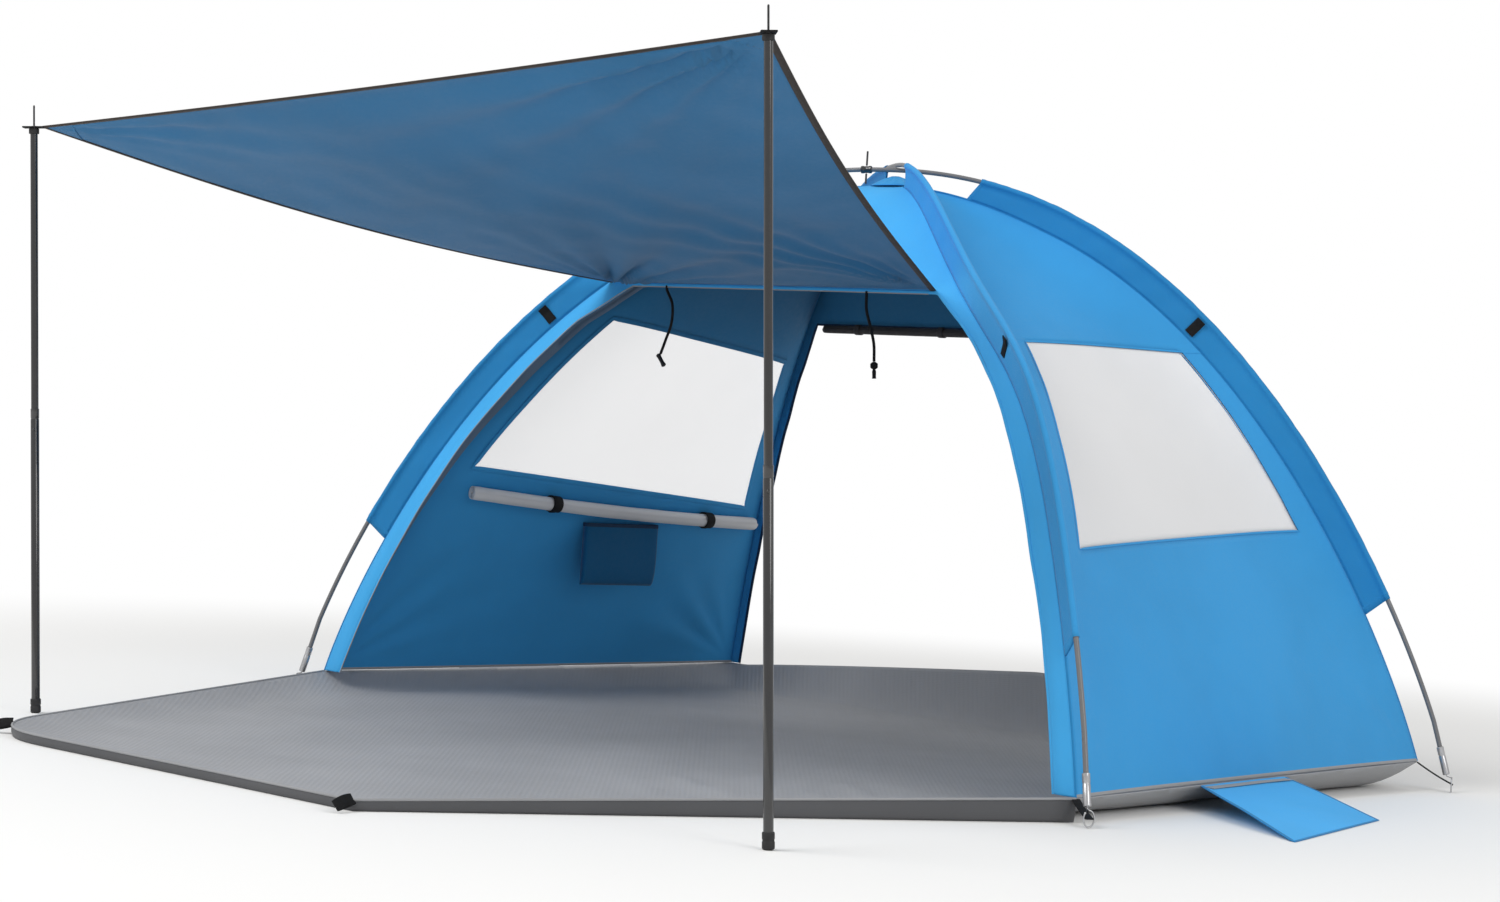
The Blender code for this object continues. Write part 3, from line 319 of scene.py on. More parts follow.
class Surface(Shader):
    """A new material with its textures, in the object's own space."""

    def __init__(self, name):
        super().__init__(bpy.data.materials.new(name))
        self.surface = self.nodes["Principled BSDF"]
        self.place = self.add("TexCoord").outputs["Object"]
        self.cloth = self.add("UVMap", uv_map="cloth").outputs[0]

    def ramp(self, value, low, high, start=0.0, end=1.0):
        return self.add("MapRange", interpolation_type="SMOOTHSTEP", Value=value, From_Min=low, From_Max=high,
                        To_Min=start, To_Max=end).outputs["Result"]

    def noise(self, scale, detail, roughness=0.5, place=None):
        return self.add("TexNoise", Vector=place or self.place, Scale=scale, Detail=detail,
                        Roughness=roughness).outputs["Fac"]

    def wave(self, direction, spacing, **values):
        return self.add("TexWave", bands_direction=direction, Vector=self.cloth, Scale=WAVE_SCALE / spacing,
                        **values).outputs["Fac"]

    def weave(self, thread, **values):
        return self.maths("MAXIMUM", self.wave("X", thread, **values), self.wave("Y", thread, **values))

    def bump(self, height, strength, distance, **values):
        return self.add("Bump", Height=height, Strength=strength, Distance=distance, **values).outputs[0]


def cloth_material(name, colour, roughness=0.72, thread=0.0011, bump=0.35, sheen=0.12, rib=0.0, painted_crown_shade=1.0):
    """Woven cloth: threads both ways in the cloth's own metres, soft mottling, a hint of crease, and, with a
    factor below 1, painted shade that darkens the colour towards the top.
    """
    made = Surface(name)
    height = made.weave(thread, Distortion=0.6, Detail=1.0)
    if rib:
        ribs = made.wave("DIAGONAL", rib, Distortion=0.3)
        height = made.maths("ADD", height, made.maths("MULTIPLY", ribs, 2.2))
    fine = made.noise(95.0, 2.0, 0.6)
    broad = made.ramp(made.noise(2.3, 3.0, 0.55), 0.3, 0.7)
    tone = made.maths("ADD", broad, made.maths("MULTIPLY", fine, 0.35))
    base = made.mix(made.maths("MULTIPLY", tone, 0.75), shade(colour, 0.93), shade(colour, 1.07))
    # Painted shade: the colour darkens towards the top, from 0.62 m to 1.10 m high, as if shaded under the
    # roof.
    if painted_crown_shade < 1.0:
        above = made.add("SeparateXYZ", Vector=made.place).outputs["Z"]
        base = made.mix(made.ramp(above, 0.62, 1.10), base, shade(colour, painted_crown_shade))
    threads = made.bump(height, bump, 0.00035)
    rough = made.ramp(fine, 0.2, 0.8, roughness - 0.06, roughness + 0.08)
    creased = made.bump(made.noise(14.0, 3.0), 0.25, 0.004, Normal=threads)
    made.fill(made.surface, Base_Color=base, Roughness=rough, Normal=creased, Sheen_Weight=sheen,
              Sheen_Roughness=0.4, Specular_IOR_Level=0.25)
    return made.owner


def mesh_material(name, colour, clear, through):
    """Fine window mesh: a pale net that lets some light and some of the view through."""
    made = Surface(name)
    base = made.mix(made.noise(3.0, 3.0), shade(colour, 0.97), shade(colour, 1.03))
    made.fill(made.surface, Base_Color=base, Roughness=0.85, Specular_IOR_Level=0.1,
              Normal=made.bump(made.weave(0.0016), 0.3, 0.0003))
    lit = made.blend(through, made.surface.outputs[0], made.add("BsdfTranslucent", Color=base).outputs[0])
    made.show(made.blend(clear, lit, made.add("BsdfTransparent").outputs[0]))
    return made.owner


def hard_material(name, colour, roughness, metallic=0.0, grain=60.0, coat=0.0):
    """Metal, rubber or glass fibre with fine scratches, smudges and slightly worn tone."""
    made = Surface(name)
    drawn = made.add("Mapping", Vector=made.place, Scale=(9.0, 9.0, 0.35)).outputs[0]
    tone = made.maths("ADD", made.maths("MULTIPLY", made.noise(grain, 4.0, 0.6), 0.6),
                      made.maths("MULTIPLY", made.noise(grain * 2.0, 2.0, place=drawn), 0.4))
    made.fill(made.surface, Base_Color=made.mix(tone, shade(colour, 0.90), shade(colour, 1.10)),
              Roughness=made.ramp(tone, 0.3, 0.7, roughness * 0.85, roughness * 1.3),
              Normal=made.bump(tone, 0.04, 0.0002), Metallic=metallic, Coat_Weight=coat)
    return made.owner


OUTSIDE = (0.041, 0.330, 0.700)
BINDING_GREY = (0.330, 0.335, 0.345)
MATERIALS = {
    "sky": cloth_material("sky_cloth", OUTSIDE),
    # Painted light: the panels' outside is a lighter copy of the walls' blue cloth, standing for the light
    # that falls on the front.
    "panel": cloth_material("panel_cloth", (0.060, 0.430, 0.860)),
    "flap": cloth_material("flap_cloth", (0.060, 0.460, 0.920)),
    # Painted shade: the inside of the same blue cloth is a slightly darker copy of the outside colour,
    # darkened further towards the top.
    "inside": cloth_material("inside_painted_shade_cloth", (0.040, 0.310, 0.660), sheen=0.05, painted_crown_shade=0.42),
    # Painted shade: the sleeves are the tent's blue cloth in a darker copy; only the front-right sleeve keeps
    # the walls' blue.
    "sleeve": cloth_material("sleeve_cloth", (0.018, 0.230, 0.525)),
    # Painted shade: the awning's underside is the top's blue cloth in a darker copy, standing for the shade
    # beneath the awning.
    "awning_under": cloth_material("awning_underside_painted_shade", (0.032, 0.170, 0.360), sheen=0.10),
    "awning_top": cloth_material("awning_top", OUTSIDE),
    "floor": cloth_material("floor_cloth", (0.370, 0.375, 0.390), 0.62, 0.0022, 0.55, 0.0, rib=0.0075),
    # Painted shadow: a dark grey for the band under the floor's edge.
    "painted_shadow_band": cloth_material("floor_painted_shadow", (0.100, 0.102, 0.108), thread=0.0022),
    "under": cloth_material("floor_underside", BINDING_GREY, thread=0.0022),
    "trim": cloth_material("grey_binding", BINDING_GREY, thread=0.0016),
    "navy": cloth_material("navy_tape", (0.010, 0.035, 0.085), thread=0.0016),
    "band": cloth_material("jamb_band", (0.110, 0.170, 0.250), thread=0.0016),
    "brown": cloth_material("brown_binding", (0.030, 0.022, 0.018), thread=0.0016),
    "grey": cloth_material("grey_cloth", (0.660, 0.660, 0.670), roughness=0.65),
    "pocket": cloth_material("pocket_cloth", (0.001, 0.095, 0.230)),
    "dark": cloth_material("dark_cloth", (0.055, 0.050, 0.050)),
    "webbing": cloth_material("black_webbing", (0.0050, 0.0050, 0.0055), thread=0.0026, bump=0.9, sheen=0.0),
    # Painted light: both windows are one net; the right copy is nearly opaque and pale so that it reads as
    # lit, while the left copy is mostly clear.
    "net_right": mesh_material("window_net_right", (0.900, 0.900, 0.905), clear=0.04, through=0.12),
    "net_left": mesh_material("window_net_left", (0.880, 0.880, 0.890), clear=0.70, through=0.90),
    "fibre": hard_material("glass_fibre", (0.150, 0.150, 0.155), 0.30, coat=0.6),
    "steel": hard_material("dark_steel", (0.012, 0.012, 0.013), 0.20, coat=1.0),
    "bright": hard_material("bright_steel", (0.520, 0.520, 0.530), 0.32, metallic=1.0),
    "rubber": hard_material("black_rubber", (0.012, 0.012, 0.013), 0.55, grain=140.0),
}


# Mesh helpers


def unit(vectors):
    return vectors / np.maximum(np.linalg.norm(vectors, axis=-1, keepdims=True), 1e-12)


def lengths(points, axis=0):
    """The distance along lines of points, from their first."""
    start = np.take(points, [0], axis=axis)
    return np.linalg.norm(np.diff(points, axis=axis, prepend=start), axis=-1).cumsum(axis=axis)


def measured(spots):
    """Each grid point's place along its row and column, in metres."""
    across = lengths(spots, 1)
    across = across - across[:, -1:] / 2.0
    return np.stack([across, lengths(spots).mean(axis=1, keepdims=True) + 0.0 * across], axis=2)


def own(made, slot=None, node=None, body="tent"):
    """Attaches a piece to its body and hides the CAD node it stands for, when a slot is given."""
    if slot:
        if node:
            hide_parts(node)
        if body:
            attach(made, body)
    return made


def new_mesh(name, points, faces, uvs, materials):
    mesh = bpy.data.meshes.new(name)
    mesh.from_pydata(points.tolist(), [], faces)
    layer = mesh.uv_layers.new(name="cloth")
    corner = np.zeros(len(mesh.loops), np.int64)
    mesh.loops.foreach_get("vertex_index", corner)
    layer.data.foreach_set("uv", uvs[corner].astype(np.float32).ravel())
    mesh.shade_smooth()
    for key in materials:
        mesh.materials.append(MATERIALS[key])
    mesh.update()
    return link(name, mesh)


def thicken(made, thickness):
    """Gives a sheet its thickness; a second material is its back."""
    solid = made.modifiers.new("thickness", "SOLIDIFY")
    solid.thickness = thickness
    solid.offset = 0.0
    solid.material_offset = len(made.data.materials) - 1
    graph = bpy.context.evaluated_depsgraph_get()
    mesh = bpy.data.meshes.new_from_object(made.evaluated_get(graph), preserve_all_data_layers=True,
                                           depsgraph=graph)
    made.modifiers.clear()
    old = made.data
    made.data = mesh
    bpy.data.meshes.remove(old)


def grid(name, spots, materials, thickness=CLOTH, keep=None, uvs=None, wrap=False, slot=None, node=None,
         body="tent"):
    """Cloth on a grid of points; the second material is its back. keep marks the squares that stay."""
    index = np.arange(spots[..., 0].size).reshape(spots.shape[:2])
    if wrap:
        index = np.concatenate([index, index[:, :1]], axis=1)
    quads = np.stack([index[:-1, :-1], index[:-1, 1:], index[1:, 1:], index[1:, :-1]], axis=2)
    quads = quads[keep] if keep is not None else quads.reshape(-1, 4)
    used, faces = np.unique(quads, return_inverse=True)
    flat = measured(spots) if uvs is None else uvs
    made = new_mesh(name, spots.reshape(-1, 3)[used], faces.reshape(-1, 4).tolist(),
                    flat.reshape(-1, 2)[used], materials)
    if thickness:
        thicken(made, thickness)
    return own(made, slot, node, body)


def ring(radius, steps=16):
    angles = np.linspace(0.0, 2.0 * math.pi, steps, endpoint=False)
    return np.stack([np.cos(angles), np.sin(angles)], axis=1) * radius


def tape(width, thickness, steps=3):
    """A flat strip's outline with rounded edges."""
    radius = thickness / 2.0
    points = []
    for centre, start in ((width / 2.0 - radius, -90.0), (-width / 2.0 + radius, 90.0)):
        for angle in np.radians(np.linspace(start, start + 180.0, steps + 1)):
            points.append((centre + radius * math.cos(angle), radius * math.sin(angle)))
    return np.array(points)


def skinned(name, points, around, along, material, sharp, closed=False, weld=False):
    """Faces between rows of ringed points; open ends get a face each, or are welded and filled.

    Sharp edges are marked before the normals are turned outward, and after a weld.
    """
    index = np.arange(points[..., 0].size).reshape(points.shape[:2])
    first, following = (index, np.roll(index, -1, axis=0)) if closed else (index[:-1], index[1:])
    faces = np.stack([first, np.roll(first, -1, axis=1), np.roll(following, -1, axis=1), following], axis=2)
    faces = faces.reshape(-1, 4).tolist()
    if not (closed or weld):
        faces += [index[0][::-1].tolist(), index[-1].tolist()]
    uvs = np.stack(np.meshgrid(around, along), axis=2).reshape(-1, 2)
    made = new_mesh(name, points.reshape(-1, 3), faces, uvs, (material,))
    if not weld:
        made.data.set_sharp_from_angle(angle=math.radians(sharp))
    cage = bmesh.new()
    cage.from_mesh(made.data)
    if weld:
        bmesh.ops.remove_doubles(cage, verts=cage.verts, dist=1e-6)
        bmesh.ops.holes_fill(cage, edges=cage.edges, sides=0)
    bmesh.ops.recalc_face_normals(cage, faces=cage.faces)
    cage.to_mesh(made.data)
    cage.free()
    if weld:
        made.data.set_sharp_from_angle(angle=math.radians(sharp))
    return made


def sweep(name, path, section, material, facing=UP, slot=None, node=None, body="tent", closed=False,
          scale=None):
    """A section of (sideways, outward) points carried along a path, outward turned towards facing."""
    along = np.roll(path, -1, axis=0) - np.roll(path, 1, axis=0) if closed else np.gradient(path, axis=0)
    along = unit(along)
    side = unit(np.cross(along, facing))
    out = np.cross(side, along)
    size = np.ones((len(path), 1)) if scale is None else np.reshape(scale, (len(path), -1))
    points = (path[:, None] + side[:, None] * (section[None, :, :1] * size[:, None, :1])
              + out[:, None] * (section[None, :, 1:] * size[:, None, -1:]))
    made = skinned(name, points, lengths(section), lengths(path), material, 50.0, closed)
    return own(made, slot, node, body)


def turned(name, profile, material, place, axis=UP, steps=40, slot=None, node=None, body="tent"):
    """A closed profile of (radius, height) turned about an axis."""
    axis = unit(np.asarray(axis, float))
    side = unit(np.cross(axis, (0.0, 1.0, 0.0) if abs(axis[1]) < 0.9 else (1.0, 0.0, 0.0)))
    angles = np.linspace(0.0, 2.0 * math.pi, steps, endpoint=False)[:, None]
    around = side * np.cos(angles) + np.cross(axis, side) * np.sin(angles)
    profile = np.asarray(profile, float)
    points = np.asarray(place, float) + profile[:, None, :1] * around + axis * profile[:, None, 1:]
    girth = angles[:, 0] * profile[:, 0].max()
    made = skinned(name, points, girth, lengths(profile), material, 40.0, weld=True)
    return own(made, slot, node, body)


def mirrored(half, closed=True):
    """A profile's upper half and its mirror image below."""
    return half + [(radius, -height) for radius, height in half[::-1]] + (half[:1] if closed else [])


def groove(radius, top, bottom, depth):
    """A shallow groove round a turned part, with 1 mm bevels."""
    return [(radius, top), (radius - depth, top - 0.001), (radius - depth, bottom + 0.001), (radius, bottom)]


def joined(name, pieces):
    """Several meshes as one object, with each one's materials."""
    with bpy.context.temp_override(active_object=pieces[0], selected_editable_objects=pieces,
                                   selected_objects=pieces, object=pieces[0]):
        bpy.ops.object.join()
    pieces[0].name = name
    pieces[0].data.name = name
    return pieces[0]


def smooth(value, low, high):
    t = np.clip((value - low) / (high - low), 0.0, 1.0)
    return t * t * (3.0 - 2.0 * t)


def ripple(u, v, size, seed, count=8):
    """A smooth random field of about unit height with features of about that size."""
    pick = np.random.default_rng(seed)
    total = np.zeros(np.broadcast(u, v).shape)
    for _ in range(count):
        angle = pick.uniform(0.0, math.pi)
        reach = size * pick.uniform(0.7, 1.6)
        total = total + np.sin((u * math.cos(angle) + v * math.sin(angle)) * 2.0 * math.pi / reach
                               + pick.uniform(0.0, 2.0 * math.pi))
    return total / math.sqrt(count)


def fan(u, v, centre, towards, spread, folds, near, far, seed):
    """Folds that run out from a point, within an angle about one direction, fading with distance."""
    du, dv = u - centre[0], v - centre[1]
    distance = np.hypot(du, dv)
    turn = np.arctan2(dv, du) - math.radians(towards)
    turn = ((turn + math.pi) % (2.0 * math.pi) - math.pi) / math.radians(spread)
    wobble = ripple(u, v, far * 1.3, seed + 50) * 0.35
    wave = np.cos(turn * math.pi * folds + wobble + np.random.default_rng(seed).uniform(0.0, 6.28))
    fade = np.clip(distance / near, 0.0, 1.0) ** 1.5 * np.exp(-np.clip(distance - near, 0.0, None) / far)
    return wave * np.exp(-turn ** 2) * fade


def fans(u, v, table, places):
    """The creases of a table together, each from its named place."""
    return sum(height * fan(u, v, places[place], *shape) for place, height, *shape in table)


# Lines of the frame


def sign(side):
    return 1.0 if side == "right" else -1.0


def foot(end, side):
    return np.array((sign(side) * FEET[end][0], FEET[end][1], 0.0))


def arch(end, side, share, lift=0.0):
    share = np.asarray(share, float)
    bend, drop = CURVES[end]
    spot = CROWN + (foot(end, side) - CROWN) * share[..., None]
    spot[..., 2] = (CROWN_HEIGHT + lift) * np.maximum(0.0, 1.0 - share ** bend) ** drop
    if end == "front":
        dip = SHOULDER_DIPS[side] * np.sin(math.pi * share / SHOULDER_ENDS[side]) ** 2
        spot[..., 2] -= np.where(share < SHOULDER_ENDS[side], dip, 0.0)
    return spot


def arch_out(end, side):
    return unit(foot(end, side) - CROWN)


def over(end, side):
    """The height by which the upper arch clears the lower one."""
    return 2.0 * POLE_RADIUS + FIT_GAP if (end == "front") == (side == "right") else 0.0


def seam(end, side, share):
    share = np.asarray(share, float)
    run = arch(end, side, np.minimum(share + 0.001, 1.0)) - arch(end, side, np.maximum(share - 0.001, 0.0))
    outward = arch_out(end, side)
    inward = unit(outward * run[..., 2:3] - UP * (run @ outward)[..., None])
    width = CROWN_SLEEVE_WIDTH + (SLEEVE_WIDTH - CROWN_SLEEVE_WIDTH) * smooth(share, 0.0, SLEEVE_FULL)
    return arch(end, side, share) + inward * width[..., None]


def tail(end, side, height):
    return foot(end, side) + unit(arch(end, side, TAIL) - foot(end, side)) * height


def between(first, last, share):
    length = np.linalg.norm(last - first, axis=-1)
    mix = (SEAM_ROOM + (length - 2.0 * SEAM_ROOM) * share) / length
    return first + (last - first) * mix[..., None]


def even(count):
    """That many shares from 0 to 1, evenly spaced."""
    return np.linspace(0.0, 1.0, count)


def hem_share(across):
    return HEMS["front"] + (HEMS["rear"] - HEMS["front"]) * across


def wall(side, across, share):
    spot = between(seam("front", side, share), seam("rear", side, share), across)
    spread = 1.0 - (2.0 * across - 1.0) ** 4
    spot[..., 0] -= sign(side) * WALL_SAG * spread * np.sin(math.pi * np.clip(share, 0.0, 1.0)) ** 0.8
    return spot


def wall_fold(side, across, share):
    """How far the wall's cloth stands out of its smooth form, in metres outward."""
    spot = wall(side, across, share)
    y, z = spot[..., 1], spot[..., 2]
    seed = 3 if side == "right" else 13
    height = 0.0022 * ripple(y, z, 0.42, seed) + 0.0006 * ripple(y, z, 0.11, seed + 2)
    places = {end: seam(end, side, HEMS[end])[1:] for end in ENDS}
    places["sleeve"] = arch("rear", side, SLEEVE_ENDS["rear"][side])[1:]
    places["window"] = (-0.36, 0.62)
    height = height + fans(y, z, WALL_FANS[side], places)
    seams = smooth(across, 0.0, 0.10) * smooth(1.0 - across, 0.0, 0.10)
    hem = smooth(hem_share(across) - share, 0.0, 0.03) * smooth(share, 0.05, 0.20)
    covers = 1.0 - 0.8 * smooth(share, 0.78, 0.82) * smooth(0.92 - share, 0.0, 0.04)
    return height * seams * hem * covers


def wall_cloth(side, across, share, lift=0.0):
    """The wall with its folds, lifted outward by lift."""
    spot = wall(side, across, share)
    spot[..., 0] += sign(side) * (wall_fold(side, across, share) + lift)
    spot[..., 2] += lift * 0.55
    return spot


def window_cloth(side, column, row, lift=0.0):
    """The wall at window columns and rows: 1 to 2 is the window, 0 and 3 the wall's edges."""
    (a0, s0), (a1, s1), (a2, s2), (a3, s3) = WINDOWS[side]
    across = np.array(((0, a0, a1, 1), (0, a0, a1, 1), (0, a3, a2, 1), (0, a3, a2, 1)), float)
    shares = np.array(((BODY_TOP,) * 4, (s0, s0, s1, s1), (s3, s3, s2, s2), hem_share(across[3])), float)
    i, j = (np.clip(place.astype(int), 0, 2) for place in (row, column))
    t, s = row - i, column - j

    def mixed(table):
        upper = table[i, j] * (1.0 - s) + table[i, j + 1] * s
        lower = table[i + 1, j] * (1.0 - s) + table[i + 1, j + 1] * s
        return upper * (1.0 - t) + lower * t
    bulge = np.sin(math.pi * np.clip(row - 1.0, 0.0, 1.0)) * np.maximum(0.0, 1.0 - np.abs(column - 2.0))
    return wall_cloth(side, mixed(across) + WINDOW_BULGE * bulge, mixed(shares), lift)


def eased(start, end, count, power=1.0):
    return start + (end - start) * (1.0 - (1.0 - even(count + 1)) ** power)


def last_share(above, shape, low):
    """The largest share at which above still holds, found by halving."""
    low, high = np.full(shape, low), np.ones(shape)
    for _ in range(40):
        middle = (low + high) / 2.0
        holds = above(middle)
        low, high = np.where(holds, middle, low), np.where(holds, high, middle)
    return low


def share_at_height(end, side, height):
    return float(last_share(lambda share: seam(end, side, share)[..., 2] > height, (), 0.0))


def panel_share(end, across, height):
    """The share at which each place across a panel is at a height."""
    return last_share(lambda share: between(seam(end, "left", share), seam(end, "right", share),
                                            across)[..., 2] > height, across.shape, BODY_TOP)


def panel_place(end, sideways, height):
    """The places on a panel at a distance sideways of its middle and at a height."""
    def place(share):
        left, right = seam(end, "left", share), seam(end, "right", share)
        mix = (sideways - left[..., 0]) / (right[..., 0] - left[..., 0])
        return left + (right - left) * mix[..., None]
    return place(last_share(lambda share: place(share)[..., 2] > height, sideways.shape, BODY_TOP))


# Walls and windows


def make_wall(side):
    columns = np.concatenate([eased(0, 1, 14)[:-1], eased(1, 2, 60)[:-1], eased(2, 3, 12)])
    rows = np.concatenate([eased(0, 1, 46)[:-1], eased(1, 2, 30)[:-1], eased(2, 3, 34, 1.5)])
    column, row = np.meshgrid(columns, rows)
    inside = [np.abs((place[:-1, :-1] + place[1:, 1:]) / 2.0 - 1.5) < 0.5 for place in (column, row)]
    turn = -1 if side == "right" else 1
    outward = (sign(side), 0.0, 0.5)
    made = grid(f"wall_cloth_{side}", window_cloth(side, column, row)[:, ::turn], ("sky", "inside"),
                keep=~(inside[0] & inside[1])[:, ::turn], slot="sky_fabric", node=f"wall_{side}")
    column, row = np.meshgrid(np.linspace(1.0, 2.0, 60), np.linspace(1.0, 2.0, 40))
    pane = grid(f"window_net_{side}", window_cloth(side, column, row, PANE_LIFT)[:, ::turn], (f"net_{side}",),
                0.0006, slot="pale_mesh", node=f"window_{side}")

    corners = np.array(((1, 1), (2, 1), (2, 2), (1, 2)), float)
    outline = np.concatenate([np.linspace(start, end, count, endpoint=False) for start, end, count in
                              zip(corners, np.roll(corners, -1, axis=0), (40, 30, 40, 30))])
    tapes = [sweep(f"window_tape_{side}_{name}", window_cloth(side, *outline.T, lift), tape(width, BINDING),
                   material, outward, "shade_fabric", closed=True)
             for name, lift, width, material in WINDOW_TAPES]
    t = np.linspace(0.01, 0.99, 16)
    seams = [sweep(f"wall_seam_{side}_{number}", window_cloth(side, start + t, np.ones_like(t), 0.0008),
                   tape(0.007, BINDING), "sky", outward) for number, start in enumerate((0.0, 2.0))]
    own(joined(f"wall_seam_{side}", seams), "sky_fabric")
    t = even(60)
    hem = sweep(f"wall_hem_{side}", wall_cloth(side, t, hem_share(t) - 0.0006), tape(0.0070, 0.0028), "trim",
                (sign(side), 0.0, 0.3), "grey_fabric")


# Sleeves, piping and fastening tabs


def sleeve_section(steps=16):
    """The sleeve's outline as (inward, aside): a flange, the pole's tunnel and the flange back."""
    seam_end = SLEEVE_WIDTH - 0.0012
    inward = np.linspace(seam_end, TUNNEL_RADIUS * 1.9, 8)
    flange = np.stack([inward, LAYER_HALF * (1.0 + 0.1 * (seam_end - inward) / seam_end)], axis=1)
    opening = math.radians(40.0)
    angles = np.linspace(opening, 2.0 * math.pi - opening, steps)
    tunnel = np.stack([np.cos(angles), np.sin(angles)], axis=1) * TUNNEL_RADIUS
    return np.concatenate([flange, tunnel, flange[::-1] * (1.0, -1.0)])


def make_sleeve(end, side):
    key = f"{end}_{side}"
    lift = over(end, side)
    start = CROWN_START if lift else SLEEVE_START
    inward, aside = sleeve_section().T[:, None]
    slant = SLEEVE_SLANT * np.maximum(inward / SLEEVE_WIDTH, 0.0)
    slant_up = 0.0 if lift else slant
    down = even(SLEEVE_ROWS + 1)[:, None]
    share = start - slant_up + (SLEEVE_ENDS[end][side] - start + slant_up + slant * 0.25) * down
    pole, edge = arch(end, side, share, lift), seam(end, side, share)
    gap = np.linalg.norm(edge - pole, axis=-1)
    seed = 100 + ENDS.index(end) * 10 + SIDES.index(side)
    length = share * 1.9
    flat = smooth(inward / SLEEVE_WIDTH, 0.18, 0.55) * smooth(1.0 - inward / SLEEVE_WIDTH, 0.0, 0.25)
    aside = aside + 0.0012 * ripple(length, length * 0.0, 0.075, seed, 6) * flat
    reach = inward * np.where(inward > TUNNEL_RADIUS, gap / SLEEVE_WIDTH, 1.0)
    reach = reach + 0.0005 * ripple(length, aside * 30.0, 0.05, seed + 5) * (inward < 0.0)
    outward = arch_out(end, side)
    sideways = np.array((-outward[1], outward[0], 0.0)) * sign(side)
    spots = pole + unit(edge - pole) * reach[..., None] + sideways * aside[..., None]
    if side == "left":
        spots = spots[:, ::-1]
    # Painted light: the front-right sleeve, which faces the light, takes the walls' lighter blue instead of
    # the darker sleeve copy.
    cloth = "sky" if key == "front_right" else "sleeve"
    made = grid(f"sleeve_cloth_{key}", spots, (cloth, cloth), 0.0009, slot="sleeve_fabric",
                node=f"sleeve_{key}")
    ends = []
    for name, row in (("top", 1), ("foot", SLEEVE_ROWS - 1)):
        path = spots[row] + unit(spots[row] - spots[row].mean(axis=0)) * 0.0003
        facing = unit(np.cross(np.gradient(path, axis=0), spots[row - 1] - spots[row + 1]))
        ends.append(sweep(f"sleeve_end_{key}_{name}", path, tape(0.007, 0.0012), cloth, facing))
    hem = own(joined(f"sleeve_hem_{key}", ends), "sleeve_fabric")
    sweep(f"seam_piping_{key}", seam(end, side, eased(BODY_TOP, HEMS[end], 120, ROW_EASE)), ring(0.0021, 10),
          "sleeve", slot="sleeve_fabric")

    pole, edge = arch(end, side, TAB_SHARES[end][side], lift), seam(end, side, TAB_SHARES[end][side])
    inward_way = unit(edge - pole)
    along_pole = unit(np.cross(inward_way, sideways))
    first, flat, last = TAB_REACH
    inward = np.linspace(first, last, 10)[:, None]
    height = LAYER_HALF + 0.0026 + (TUNNEL_RADIUS - LAYER_HALF) * (1.0 - smooth(inward, first, flat))
    strips = []
    for flank in (-1.0, 1.0):
        path = pole + inward_way * inward + sideways * flank * height
        facing = unit(np.cross(np.gradient(path, axis=0), along_pole)) * -flank
        strips.append(sweep(f"sleeve_tab_band_{key}_{len(strips)}", path, tape(0.0240, 0.0026), "webbing",
                            facing))
    own(joined(f"sleeve_tab_band_{key}", strips), "black_webbing", f"sleeve_tab_{key}")


# Front and rear panels


def doorway_width(end, side, share):
    """The width of the panel's jamb beside the doorway, from its seam."""
    jamb, eave, drop = JAMBS[end], EAVES[end], CORNER_DROPS[end]
    if not drop:
        return np.full(share.shape, jamb)
    edge = seam(end, side, share)
    low = abs(seam(end, side, share_at_height(end, side, eave - drop))[0]) - jamb
    high = abs(seam(end, side, share_at_height(end, side, eave))[0]) - CORNER_JAMB
    rise = np.clip((edge[:, 2] - (eave - drop)) / drop, 0.0, 1.0)
    return np.where(edge[:, 2] > eave - drop, np.abs(edge[:, 0]) - (low + (high - low) * rise), jamb)


def panel_fold(end, across, spots):
    """Depth of the panel's creases, which fade out at its seams."""
    x, z = spots[..., 0], spots[..., 2]
    reach = np.abs(2.0 * across - 1.0)
    seed = 40 if end == "front" else 60
    height = 0.0016 * ripple(x, z, 0.30, seed) + 0.0010 * ripple(x, z * 0.35, 0.07, seed + 1)
    jamb = smooth(reach, 0.70, 0.90) * smooth(0.95 - z, 0.0, 0.5)
    height = height + 0.0040 * jamb * np.sin((1.0 - reach) * 95.0 + ripple(z, x * 0.0, 0.9, seed + 2) * 1.4)
    return height * smooth(1.0 - reach, 0.0, 0.06)


